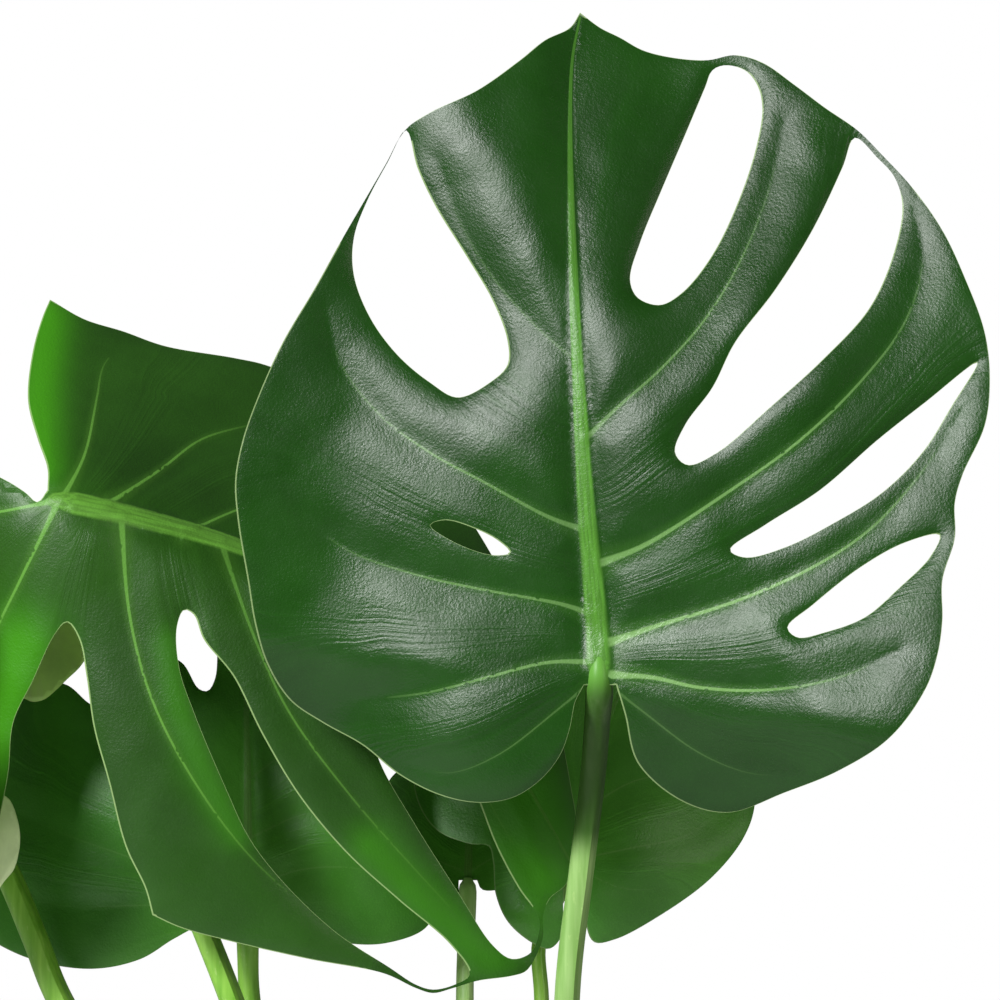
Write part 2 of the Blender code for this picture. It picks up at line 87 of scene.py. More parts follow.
# A blade is drawn as seen from the front, in millimetres from the point where its stalk joins it: u to the
# right, v up. "edge" is its margin in runs that meet at corners, "slots" are the openings between its side
# veins, and "veins" are the side veins, each with its half width at the midrib. "length" is the distance
# from stalk to tip, and scales the drawing. "tilt" and "bend" lean and arch the blade in depth, each "fold"
# is a soft crease (direction, distance from the stalk, slope, softness), and each "bulge" a swelling
# (u, v, radius, depth). Depth grows away from the viewer.
BLADES = {}
BLADES["front"] = dict(
    joint=(52, -60, 452),
    length=266,
    edge=[
        [(-6.5, -1), (-10, -8), (-12, -18), (-16, -29), (-24, -39), (-35, -46), (-49, -48), (-64, -45),
         (-80, -37), (-95, -25), (-111, -16), (-124, -7), (-133, 7), (-138, 23), (-141, 41), (-145, 65),
         (-146, 81), (-143, 97), (-137, 114), (-127, 136), (-114, 158), (-104, 176), (-86, 207),
         (-78, 221), (-68, 228), (-49, 237), (-32, 249), (-22, 257), (-12, 262), (-8, 268)],
        [(-8, 268), (0, 262), (8, 258), (17, 253), (29, 250), (43, 249), (54, 251), (65, 248), (78, 239),
         (90, 230), (103, 221), (113, 211), (125, 198), (137, 181), (146, 162), (154, 140), (156, 121),
         (154, 103), (145, 83), (142, 72), (142, 58), (137, 41), (137, 25), (135, 11), (130, -3), (116, -22),
         (96, -35), (74, -44), (51, -52), (32, -47), (15, -32), (10, -13), (6.5, -1)],
        [(6.5, -1), (-6.5, -1)],
    ],
    slots=[
        [(-77.5, 221), (-73, 206), (-66, 191), (-53, 170), (-43, 153), (-37, 137), (-37, 127), (-44, 120),
         (-57, 114), (-68, 120), (-81, 131), (-92, 146), (-98.5, 163), (-98.5, 178), (-93.4, 192.3),
         (-85.2, 207.8)],
        [(45, 245), (50, 247), (58, 245), (63, 239), (65, 230), (63, 216), (56, 194), (45, 171),
         (33, 156), (24, 151), (15, 154), (12, 161), (16, 176), (25, 198), (34, 219), (42, 238)],
        [(102, 218), (111, 210), (118, 202), (121, 191), (118, 173), (108, 150), (89, 129), (68, 110),
         (47, 92), (35, 87), (30, 92), (34, 103), (45, 118), (54, 136), (70, 157), (85, 181), (97, 206)],
        [(151, 128), (141, 111), (129, 92), (113, 76), (94, 64), (74, 54), (58, 50), (52, 53),
         (66, 63), (88, 77), (111, 97), (130, 112)],
        [(136, 59), (132, 50), (120, 38), (106, 26), (90, 20), (79, 18), (75, 22), (85, 31),
         (104, 46), (122, 56)],
        [(-68, 63), (-62, 65), (-51, 62), (-41, 57), (-36, 52), (-43, 51), (-58, 56)],
    ],
    midrib=[(0, 0), (-2, 33), (-5, 65), (-8, 113), (-11, 173), (-12, 225), (-11, 250), (-8, 266)],
    rib=5.2,
    veins=[
        ([(-6, 97), (6, 109), (24, 125), (42, 145), (56, 168), (67, 195), (74, 225)], 0.7, 0.5),
        ([(1, 48), (18, 55), (51, 76), (79, 96), (104, 120), (122, 144), (129, 168), (126, 191)], 0.9, 0.8),
        ([(4, 16), (21, 22), (56, 33), (87, 47), (109, 62), (128, 83), (145, 109)], 1.0, 1.0),
        ([(5, 3), (21, 2), (40, -2), (67, -3), (96, 2), (120, 13)], 1.0, 1.0),
        ([(5, -2), (18, -12), (40, -28), (60, -36), (80, -37)], 0.5, 0.25),
        ([(-9, 128), (-27, 144), (-44, 164), (-57, 187), (-65, 209)], 0.6, 0.15),
        ([(-6, 61), (-20, 66), (-46, 80), (-68, 92), (-88, 107), (-104, 128), (-110, 149)], 0.8, 0.5),
        ([(-3, 27), (-14, 31), (-46, 37), (-73, 43), (-101, 53), (-120, 67)], 0.8, 0.55),
        ([(-2, 8), (-20, 8), (-45, 2), (-69, -4), (-96, -7)], 0.9, 0.7),
        ([(-5, -1), (-16, -10), (-41, -29), (-60, -36), (-76, -33)], 0.5, 0.3),
    ],
    tilt=(0.04, 0.1),
    bend=(0.0002, 0.0006),
    folds=[((-0.86, -0.5), -69, 0.36, 7), ((0.3, -1), -22, -0.2, 8), ((1, 0.15), 64, -0.3, 10),
              ((-0.15, -1), 3, 0.6, 6), ((-1, -0.8), 20, -0.15, 12), ((-1, 0.1), 112, -0.3, 12)],
    bulges=[(-60, 75, 55, -5), (70, 125, 45, -10), (-55, -45, 55, -30)],
    valley=3,
    quilt=2.2,
    droop=[(0, 9), (5, 12), (1.6, 4), (2.8, 8), (2, 6), (1.6, 5), (0.4, 3)],
    material="deep",
)
BLADES["left"] = dict(
    joint=(-172, 0, 525),
    length=260,
    edge=[
        [(-3, 4), (-3, 13), (-7, 25), (-11, 41), (-9, 61), (-5, 75), (-2, 82)],
        [(-2, 82), (12, 74), (28, 69), (45, 63), (74, 58), (87, 55), (117, 42), (146, 20), (165, -1),
         (178, -21), (195, -53), (205, -86), (211, -115), (214, -137), (212, -151)],
        [(212, -151), (209, -158), (203, -163), (200, -170), (200, -179), (197, -187), (193, -193),
         (187, -195), (173, -197), (163, -200), (155, -202), (148, -200), (135, -194), (104, -188),
         (73, -181), (51, -175), (40, -170)],
        [(40, -170), (37, -159), (29, -142), (22, -115), (16, -93), (13, -72), (10, -57), (5, -50),
         (0, -55), (-9, -74), (-17, -91), (-19, -111), (-22, -127), (-26, -144), (-31, -157),
         (-39, -160), (-47, -148), (-54, -115), (-57, -72), (-56, -34), (-50, -6), (-40, 9),
         (-30, 12), (-20, 8), (-12, 3), (-7, -1), (-3, 4)],
    ],
    slots=[
        [(170, -194.5), (162, -182), (141, -164), (119, -144), (100, -121), (85, -96), (73, -72),
         (61, -57), (57, -47), (53, -45), (50, -52), (51, -69), (57, -87), (70, -118), (80, -139),
         (94, -157), (115, -177), (137, -191.5), (148, -198.6), (155, -200.6), (164, -198.5)],
        [(198.2, -171), (190, -159), (181, -142), (174, -124), (164, -98), (150, -78), (139, -68),
         (131, -66), (127, -72), (128, -88), (133, -107), (147, -132), (166, -162), (179, -182),
         (187, -188), (195, -185.5), (198.2, -178)],
    ],
    midrib=[(0, 0), (35, -8), (76, -20), (117, -38), (154, -64), (178, -93), (197, -123), (211, -148)],
    rib=4.6,
    veins=[
        ([(3, 0), (12, 18), (17, 41), (20, 55), (28, 64)], 0.8, 0.9),
        ([(20, -3), (43, 12), (59, 24), (74, 29), (90, 32)], 0.8, 0.9),
        ([(53, -14), (76, -4), (100, 2)], 0.7, 0.8),
        ([(96, -29), (121, -16), (141, -12)], 0.7, 0.8),
        ([(113, -36), (141, -66), (162, -94), (182, -131), (197, -156)], 0.7, 0.6),
        ([(68, -18), (82, -57), (96, -87), (121, -121), (150, -154), (178, -184)], 0.7, 0.55),
        ([(27, -7), (31, -49), (40, -82), (57, -115), (80, -146), (113, -176)], 0.8, 0.8),
        ([(1, -2), (-14, -33), (-25, -57), (-33, -90), (-36, -123)], 0.8, 0.9),
        ([(-2, -1), (-23, -5), (-43, -8), (-54, -12)], 0.8, 0.9),
    ],
    tilt=(0.0, 0.03),
    bend=(0.0004, 0.0),
    folds=[((0.38, 0.92), 4, 1.5, 10), ((-1, -0.1), 12, 0.7, 14)],
    bulges=[(70, -90, 60, -6), (150, -100, 50, -5), (0, 0, 35, -6)],
    # Painted glow: lighter green along these lines (line, width, amount), as if light shone onto and through
    # the blade, also on a finger in the front leaf's shadow.
    painted_glow=[([(-6, 15), (-6, 45), (-2, 76)], 10, 1.0), ([(-14, -60), (-27, -100), (-40, -145)], 16, 1.0),
             ([(47, -60), (52, -88), (64, -118), (74, -136)], 8, 0.4), ([(172, -84), (188, -112),
             (198, -136), (204, -150)], 20, 1.0), ([(130, -142), (152, -166), (180, -189)], 10, 0.6)],
    quilt=1.4,
    droop=[(1.5, 6), (1.5, 5), (1.5, 5)],
    material="bright",
)
BLADES["low_left"] = dict(
    joint=(-95, 50, 352),
    length=145,
    edge=[
        [(-4, -2), (-11, -10), (-20, -8), (-31, -13), (-46, -22), (-68, -26), (-97, -20), (-118, -6),
         (-129, 16), (-127, 46), (-118, 73), (-99, 93), (-78, 95), (-66, 86), (-58, 86), (-48, 96),
         (-37, 107), (-28, 104), (-21, 93), (-17, 92), (-14, 97), (-13, 107), (-14, 126), (-5, 148)],
        [(-5, 148), (11, 135), (31, 114), (48, 84), (59, 50), (73, 25), (80, 6), (76, -8), (59, -15),
         (41, -15), (22, -10), (9, -8), (4, -2)],
        [(4, -2), (-4, -2)],
    ],
    midrib=[(0, -2), (0, 46), (-1, 93), (-5, 145)],
    rib=2.6,
    veins=[
        ([(0, 54), (22, 69), (37, 71)], 0.5, 0.3),
        ([(0, 29), (22, 39), (43, 42)], 0.6, 0.4),
        ([(0, 8), (22, 16), (43, 17), (65, 12)], 0.6, 0.4),
        ([(0, 25), (-25, 46), (-50, 61), (-76, 76)], 0.5, 0.25),
        ([(0, 3), (-29, 13), (-52, 22), (-80, 32), (-101, 42)], 0.6, 0.3),
        ([(-3, 0), (-42, 1), (-80, 1), (-105, 8)], 0.5, 0.3),
    ],
    tilt=(0.0, 0.12),
    bend=(0.0006, 0.0),
    folds=[((-1, 0), 84, 0.6, 14), ((1, 0), 50, 0.5, 12)],
    bulges=[(-50, 30, 35, -6), (35, 30, 30, -5)],
    valley=3,
    quilt=1.6,
    droop=[(2, 8)],
    material="shade",
)
BLADES["back_right"] = dict(
    joint=(43, 65, 368),
    length=96,
    edge=[
        [(-4, -1), (-4, -16), (-5, -30), (-10, -35), (-18, -32), (-28, -23), (-33, -11), (-34, 2),
         (-36, 9), (-44, 10), (-57, 15), (-64, 23), (-68, 35), (-67, 50), (-60, 64), (-45, 77),
         (-24, 88), (2, 94), (29, 94)],
        [(29, 94), (50, 86), (68, 68), (77, 46), (78, 26), (73, 12), (59, -5), (37, -21), (18, -31),
         (9, -32), (5, -20), (4, -1)],
        [(4, -1), (-4, -1)],
    ],
    midrib=[(0, -1), (6, 29), (14, 59), (28, 92)],
    rib=2.2,
    veins=[
        ([(5, 24), (25, 36), (50, 42), (70, 53)], 0.5, 0.5),
        ([(1, 3), (25, 8), (50, 14), (70, 29)], 0.5, 0.5),
        ([(1, 0), (21, -9), (42, -9)], 0.4, 0.4),
        ([(-1, 0), (-12, -9), (-22, -14)], 0.4, 0.4),
        ([(0, 3), (-20, 12), (-40, 20), (-58, 34)], 0.5, 0.4),
    ],
    tilt=(0.1, 0.5),
    bend=(0.001, 0.0),
    folds=[((-1, -0.2), 20, 0.35, 8), ((0.3, -1), 14, 0.8, 8)],
    bulges=[(30, 25, 26, -5)],
    valley=2,
    quilt=1.3,
    droop=[(1.5, 7)],
    material="shade",
)
BLADES["back_middle"] = dict(
    joint=(-2, 105, 360),
    length=83,
    edge=[
        [(-4, -1), (-5, -9), (-13, -10), (-26, -1), (-35, 14), (-38, 32), (-34, 43), (-25, 52),
         (-17, 69), (-3, 82), (14, 84)],
        [(14, 84), (29, 76), (38, 58), (40, 34), (35, 12), (25, 0), (14, -5), (6, -5), (4, -1)],
        [(4, -1), (-4, -1)],
    ],
    midrib=[(0, -1), (1, 25), (4, 52), (13, 82)],
    rib=2.0,
    veins=[
        ([(1, 22), (16, 36), (32, 44)], 0.5, 0.4),
        ([(0, 2), (14, 10), (30, 14)], 0.5, 0.4),
        ([(0, 2), (-14, 8), (-30, 20)], 0.5, 0.4),
        ([(1, 22), (-10, 36), (-22, 44)], 0.5, 0.4),
    ],
    tilt=(0.0, 0.5),
    bend=(0.0016, 0.0),
    folds=[((-1, 0), 22, 0.6, 8)],
    valley=2,
    quilt=1.2,
    droop=[(1.5, 7)],
    material="shade",
)
# The outer leaf grows as the front leaf does, smaller and turned.
BLADES["outer"] = dict(
    BLADES["front"],
    joint=(-252, -24, 452),
    length=205,
    turn=-118,
    folds=[((-1, 0), 112, 0.4, 14), ((1, 0.1), 118, 0.9, 12), ((0, 1), 150, 0.4, 30)],
    material="bright",
)

# A stalk runs from its cane through these points, in millimetres from the pot's axis and the soil's edge,
# and ends at its blade. "from" is the side of the cane that it leaves, in degrees, and "top" its diameter
# at the blade. "skin" is its colour, and "melt" the length over which it sinks into its blade.
CANE_FEET = {"left": (-38, 12), "right": (30, 4)}
CANE_DIAMETER = 34
CANE_ABOVE_SOIL = 38
CANE_BELOW_SOIL = 70
CANE_RING_SPACING = 13
STALK_BASE_DIAMETER = 12.5
STALK_SOCKET_DEPTH = 12
STALK_GROOVE_SIDE = math.radians(343)
STALKS = {
    "front": {
        "skin": "front", "cane": "right", "from": 285, "top": 10.8,
        "route": [(37, -26, 130), (39, -26, 230), (40, -24, 325), (45.5, -25, 373), (50, -32, 412),
                  (51.5, -44, 436), (52, -57.5, 450)],
        "end": (51.6, -56, 467), "melt": 22,
    },
    "back_right": {
        "cane": "right", "from": 45, "top": 6,
        "route": [(34, 34, 130), (32, 56, 230), (30, 68, 312), (29, 72, 335), (36, 75, 352)],
        "end": (42.4, 71.6, 364.6),
    },
    "back_middle": {
        "skin": "pale", "cane": "right", "from": 165, "top": 7.6,
        "route": [(10, 40, 130), (-1, 74, 230), (-3, 91, 308), (-2.6, 98, 334)],
        "end": (-2, 104.4, 360), "melt": 6,
    },
    "left": {
        "cane": "left", "from": 310, "top": 9.6,
        "route": [(-44, 0, 130), (-70, 12, 230), (-100, 22, 316), (-134, 23, 400), (-155, 23, 458),
                  (-167, 28, 503), (-172, 25, 516)],
        "end": (-173.2, 13.2, 521.4),
    },
    "low_left": {
        "cane": "left", "from": 70, "top": 9,
        "route": [(-52, 42, 130), (-78, 54, 230), (-94, 54, 312), (-95, 52, 333)],
        "end": (-95, 50, 350.4),
    },
    "outer": {
        "cane": "left", "from": 190, "top": 11,
        "route": [(-74, 12, 130), (-118, 24, 230), (-173, 36, 314), (-184, 39, 340), (-195, 43, 365),
                  (-209, 49, 390), (-226, 53, 411), (-244, 45, 429), (-256, 20, 443)],
        "end": (-252, -18, 452),
    },
}


# ---------------------------------------------------------------- materials


class Nodes:
    """A short way to add and join a material's nodes."""

    def __init__(self, name):
        self.mat = bpy.data.materials.new(name)
        self.mat.use_nodes = True
        self.tree = self.mat.node_tree
        self.shader = self.tree.nodes["Principled BSDF"]
        self.place = self.add("TexCoord", {}).outputs["Object"]

    def add(self, kind, inputs, **values):
        """A new node, with its inputs joined or set, and its own values set."""
        node = self.tree.nodes.new("ShaderNode" + kind)
        for key, value in values.items():
            setattr(node, key, value)
        for key, value in inputs.items():
            self.feed(node.inputs[key], value)
        return node

    def join(self, source, target):
        self.tree.links.new(source, target)

    def feed(self, socket, value):
        if isinstance(value, bpy.types.NodeSocket):
            self.join(value, socket)
        else:
            socket.default_value = value

    def noise(self, scale, detail=2.0, rough=0.5, stretch=None):
        place = self.place
        if stretch:
            place = self.add("Mapping", {"Vector": place, "Scale": stretch}).outputs["Vector"]
        inputs = {"Vector": place, "Scale": scale, "Detail": detail, "Roughness": rough}
        return self.add("TexNoise", inputs).outputs["Fac"]

    def cells(self, scale):
        return self.add("TexVoronoi", {"Vector": self.place, "Scale": scale}).outputs["Distance"]

    def attribute(self, name):
        return self.add("Attribute", {}, attribute_name=name).outputs["Fac"]

    def spread(self, value, low, high, to_low=0.0, to_high=1.0, kind="LINEAR"):
        """The value moved from one range to another, and kept within it."""
        inputs = {"Value": value, "From Min": low, "From Max": high, "To Min": to_low, "To Max": to_high}
        return self.add("MapRange", inputs, interpolation_type=kind).outputs["Result"]

    def soft(self, value, low, high, to_low=0.0, to_high=1.0):
        """As spread, but easing in and out."""
        return self.spread(value, low, high, to_low, to_high, "SMOOTHSTEP")

    def maths(self, operation, a, b):
        return self.add("Math", {0: a, 1: b}, operation=operation).outputs["Value"]

    def mix(self, share, a, b):
        a, b = ((*value, 1) if isinstance(value, tuple) else value for value in (a, b))
        return self.add("Mix", {"Factor": share, 6: a, 7: b}, data_type="RGBA").outputs[2]

    def bump(self, height, distance, strength=1.0, below=None):
        inputs = {"Distance": distance, "Strength": strength, "Height": height}
        if below:
            inputs["Normal"] = below
        return self.add("Bump", inputs).outputs["Normal"]

    def height(self):
        """How high the surface is, in metres."""
        return self.add("SeparateXYZ", {0: self.place}).outputs["Z"]

    def mottle(self, colour, other, noise, low, high, most=1.0):
        """The colour with patches of another, where the noise is above its limits."""
        return self.mix(self.spread(noise, low, high, 0.0, most), colour, other)

    def finish(self, colour, rough, relief):
        """The material, once its colour, roughness and relief are joined to its shader."""
        self.join(colour, self.shader.inputs["Base Color"])
        self.feed(self.shader.inputs["Roughness"], rough)
        self.join(relief, self.shader.inputs["Normal"])
        return self.mat


def srgb(red, green, blue):
    """The linear colour of 0 to 255 screen values."""
    linear = []
    for value in (red, green, blue):
        share = value / 255
        linear.append(share / 12.92 if share <= 0.04045 else ((share + 0.055) / 1.055) ** 2.4)
    return tuple(linear)


def flow_streaks(n, along, across):
    """Noise drawn out between a blade's side veins, from its midrib to its margin."""
    flow = n.maths("MULTIPLY", n.attribute("flow"), across)
    away = n.maths("MULTIPLY", n.attribute("from_rib"), along)
    place = n.add("CombineXYZ", {0: flow, 1: away}).outputs[0]
    inputs = {"Vector": place, "Scale": 1.0, "Detail": 3.0, "Distortion": 0.25}
    return n.add("TexNoise", inputs).outputs["Fac"]


def times(share, colour):
    """The colour made darker or lighter."""
    return tuple(share * value for value in colour)


def leaf_material(name, deep, light, painted_glow, vein, pale_vein, rim, rough, gloss):
    """A blade's upper side: dark leathery green, paler veins, a fine pebbled grain, a painted glow of light,
    and a pale margin that is partly painted light.
    """
    n = Nodes(name)
    grain = n.noise(1500, 3, 0.7)
    streak = flow_streaks(n, 0.012, 11)
    colour = n.mix(n.soft(n.noise(9, 3), 0.35, 0.68), deep, light)
    colour = n.mottle(colour, times(0.6, deep), n.noise(48, 4, 0.6), 0.4, 0.75, 0.3)
    # Painted glow: a lighter green where the blade's painted_glow lines lie, standing in for light.
    colour = n.mix(n.attribute("painted_glow"), colour, painted_glow)
    colour = n.mottle(colour, times(1.6, light), streak, 0.52, 0.75, 0.25)
    colour = n.mix(n.spread(streak, 0.25, 0.45, 0.22, 0.0), colour, times(0.6, deep))
    colour = n.mottle(colour, times(1.8, light), grain, 0.5, 0.75, 0.16)
    lateral = n.attribute("lateral")
    pale = n.attribute("pale")
    halo = n.maths("MULTIPLY", n.soft(lateral, 1.0, 5.0, 0.16, 0.0), pale)
    colour = n.mix(halo, colour, vein)
    line = n.maths("MULTIPLY", n.soft(lateral, 0.5, 1.15, 0.95, 0.0), pale)
    colour = n.mix(line, colour, pale_vein)
    midrib = n.attribute("midrib")
    rib = n.attribute("rib")
    across_rib = {0: n.maths("MULTIPLY", midrib, 2.2), 1: n.maths("MULTIPLY", rib, 1.4)}
    place = n.add("CombineXYZ", across_rib).outputs[0]
    streaks = n.add("TexNoise", {"Vector": place, "Scale": 1.5}).outputs["Fac"]
    rib_colour = n.mix(n.spread(streaks, 0.4, 0.62), times(0.7, vein), vein)
    fade = n.spread(rib, 0.4, 2.6, 0.45, 1.0)
    mask = n.maths("MULTIPLY", n.soft(midrib, 0.8, 1.15, 1.0, 0.0), fade)
    colour = n.mix(mask, colour, rib_colour)
    # Pale margin: partly the blade's own edge, partly painted light where left-facing edges catch the key
    # lamp.
    colour = n.mix(n.soft(n.attribute("rim"), 0.6, 1.1, 0.6, 0.0), colour, rim)
    n.shader.inputs["Specular IOR Level"].default_value = gloss
    beside = n.soft(midrib, 1.1, 3.0)
    drawn = n.bump(n.maths("MULTIPLY", streak, beside), 0.0012, 0.3)
    pebble = n.bump(n.cells(900), 0.00012, 0.5, drawn)
    wrinkle = n.bump(n.noise(230, 5, 0.65), 0.00045, 0.35, pebble)
    return n.finish(colour, n.spread(n.noise(60, 4), 0.3, 0.7, rough - 0.04, rough + 0.06),
                    n.bump(grain, 0.00016, 0.6, wrinkle))


def underside_material(name, pale, vein):
    """A blade's underside: paler, flatter green with raised paler veins."""
    n = Nodes(name)
    colour = n.mix(n.spread(n.noise(14, 3), 0.35, 0.7), pale, times(0.75, pale))
    colour = n.mottle(colour, vein, flow_streaks(n, 0.012, 10), 0.5, 0.75, 0.3)
    colour = n.mottle(colour, times(0.6, pale), n.noise(900, 3), 0.5, 0.75, 0.2)
    line = n.soft(n.attribute("lateral"), 0.8, 2.0, 0.85, 0.0)
    colour = n.mix(n.maths("MULTIPLY", line, n.maths("MAXIMUM", n.attribute("pale"), 0.4)), colour, vein)
    colour = n.mix(n.soft(n.attribute("midrib"), 0.85, 1.15, 1.0, 0.0), colour, vein)
    n.shader.inputs["Specular IOR Level"].default_value = 0.35
    rough = n.spread(n.noise(70, 3), 0.3, 0.7, 0.48, 0.6)
    return n.finish(colour, rough, n.bump(n.noise(420, 4, 0.6), 0.0003, 0.35))


def curl_material():
    """The underside of a rolled lobe, painted far paler than the blade's underside as painted light where
    the blade above shades it, and with painted shade greener towards the top.
    """
    n = Nodes("leaf_curl")
    low = SOIL_TOP + 0.36
    # Painted shade: from pale at the lower edge to a deeper green at the top, where the blade above shades
    # it.
    rise = n.soft(n.height(), low, low + 0.1)
    colour = n.mix(rise, srgb(222, 243, 186), srgb(186, 234, 112))
    colour = n.mottle(colour, srgb(120, 160, 78), n.noise(60, 4, 0.6), 0.4, 0.7, 0.35)
    fibres = n.noise(260, 3, 0.6, stretch=(1, 1, 0.15))
    colour = n.mottle(colour, srgb(190, 214, 150), fibres, 0.5, 0.75, 0.3)
    return n.finish(colour, 0.5, n.bump(n.noise(420, 4, 0.6), 0.0003, 0.3))


def stalk_material(name, dark, light, painted_shadow=None):
    """Smooth green skin with long pale streaks and small flecks. Given a painted shadow colour, it is
    painted deep green below its blade, then the midrib's own green at the very top.
    """
    n = Nodes(name)
    streak = n.noise(240, 3, 0.6, stretch=(1, 1, 0.05))
    colour = n.mix(n.spread(streak, 0.35, 0.68), dark, light)
    colour = n.mottle(colour, times(0.8, dark), n.noise(22, 3), 0.4, 0.7, 0.45)
    flecks = n.noise(700, 2, 0.5, stretch=(1, 1, 0.4))
    colour = n.mottle(colour, srgb(178, 205, 132), flecks, 0.64, 0.74, 0.25)
    if painted_shadow:
        # Painted shadow: deep green from about 376 mm above the soil's edge up, where the front blade's
        # shadow falls; from 444 mm up, the midrib's own paler green.
        junction = srgb(94, 150, 60)
        for low, high, most, other in ((0.376, 0.392, 0.85, painted_shadow), (0.444, 0.458, 1.0, junction)):
            rise = n.soft(n.height(), SOIL_TOP + low, SOIL_TOP + high, 0.0, most)
            colour = n.mix(rise, colour, other)
        n.shader.inputs["Specular IOR Level"].default_value = 0.14
    return n.finish(colour, n.spread(n.noise(90, 3), 0.3, 0.7, 0.3, 0.42), n.bump(streak, 0.0004, 0.5))


def cane_material():
    """Green-brown bark with corky scars."""
    n = Nodes("cane_bark")
    colour = n.mix(n.spread(n.noise(70, 5, 0.65), 0.35, 0.65), srgb(96, 104, 58), srgb(128, 112, 78))
    colour = n.mottle(colour, srgb(70, 58, 40), n.noise(330, 4), 0.55, 0.7, 0.6)
    return n.finish(colour, 0.75, n.bump(n.noise(240, 5, 0.65), 0.001, 0.7))


def soil_material():
    """Dark potting mix with bark fibres and pale grit."""
    n = Nodes("potting_mix")
    colour = n.mix(n.spread(n.noise(120, 6, 0.7), 0.35, 0.65), srgb(34, 24, 17), srgb(74, 54, 38))
    colour = n.mix(n.spread(n.cells(420), 0.0, 0.22, 0.5, 0.0), colour, srgb(104, 82, 58))
    rough = n.spread(n.noise(200, 3), 0.3, 0.7, 0.8, 0.98)
    return n.finish(colour, rough, n.bump(n.noise(500, 6, 0.7), 0.0015, 0.9))


def pot_material():
    """Off-white ceramic with a soft glaze, faint mottling and fine speckles."""
    n = Nodes("pot_glaze")
    colour = n.mix(n.spread(n.noise(14, 4), 0.3, 0.7), srgb(222, 218, 209), srgb(234, 231, 224))
    colour = n.mottle(colour, srgb(150, 140, 122), n.noise(1300, 1), 0.7, 0.76, 0.5)
    rough = n.spread(n.noise(40, 4), 0.3, 0.7, 0.3, 0.42)
    return n.finish(colour, rough, n.bump(n.noise(120, 4), 0.0006, 0.25))


# ---------------------------------------------------------------- curves and meshes


def between(t, start, end, a, b):
    """The point on the line through a at t = start and b at t = end."""
    return ((end - t) * a + (t - start) * b) / (end - start)


def run_along(line):
    """How far along the line each of its points lies."""
    return np.concatenate([[0], np.cumsum(np.linalg.norm(np.diff(line, axis=0), axis=1))])


def smooth_curve(points, step, closed=False):
    """Points about a step apart along the centripetal Catmull-Rom curve through the given ones."""
    points = [np.array(p, float) for p in points]
    if len(points) == 2:
        count = max(2, round(np.linalg.norm(points[1] - points[0]) / step))
        return [points[0] + (points[1] - points[0]) * i / count for i in range(count + 1)]
    if closed:
        ring = [points[-1]] + points + points[:2]
    else:
        ring = [2 * points[0] - points[1]] + points + [2 * points[-1] - points[-2]]
    dense = []
    for p0, p1, p2, p3 in zip(ring, ring[1:], ring[2:], ring[3:]):
        t0 = 0.0
        t1 = t0 + math.sqrt(np.linalg.norm(p1 - p0))
        t2 = t1 + math.sqrt(np.linalg.norm(p2 - p1))
        t3 = t2 + math.sqrt(np.linalg.norm(p3 - p2))
        for t in np.linspace(t1, t2, 24, endpoint=False):
            a1 = between(t, t0, t1, p0, p1)
            a2 = between(t, t1, t2, p1, p2)
            a3 = between(t, t2, t3, p2, p3)
            dense.append(between(t, t1, t2, between(t, t0, t2, a1, a2), between(t, t1, t3, a2, a3)))
    dense.append(points[0] if closed else points[-1])
    dense = np.array(dense)
    run = run_along(dense)
    pieces = max(2, round(run[-1] / step))
    at = np.linspace(0, run[-1], pieces + 1)
    if closed:
        at = at[:-1]
    return [np.array([np.interp(s, run, dense[:, k]) for k in range(dense.shape[1])]) for s in at]


def side_of(places, line, share):
    """Which side of a line each place lies on, given the share of the line at its nearest point."""
    line = np.array(line, float)
    runs = run_along(line) / run_along(line)[-1]

    def spot(share):
        return np.column_stack([np.interp(share, runs, line[:, k]) for k in (0, 1)])

    along = spot(share + 0.02) - spot(share - 0.02)
    off = places - spot(share)
    return np.sign(off[:, 0] * along[:, 1] - off[:, 1] * along[:, 0])


def from_piece(places, a, b, length):
    """The share of a straight piece of line at its nearest point to each place, and the distance to it."""
    t = np.clip((places - a) @ (b - a) / length**2, 0, 1)
    return t, np.linalg.norm(places - (a + t[:, None] * (b - a)), axis=1)


def from_line(places, line):
    """Each place's distance from a line of points, and the share of the line at its nearest point."""
    line = np.array(line, float)
    lengths = np.linalg.norm(np.diff(line, axis=0), axis=1)
    runs = run_along(line)
    best = np.full(len(places), np.inf)
    share = np.zeros(len(places))
    for a, b, start, length in zip(line, line[1:], runs, lengths):
        t, away = from_piece(places, a, b, length)
        closer = away < best
        best[closer] = away[closer]
        share[closer] = (start + t[closer] * length) / runs[-1]
    return best, share


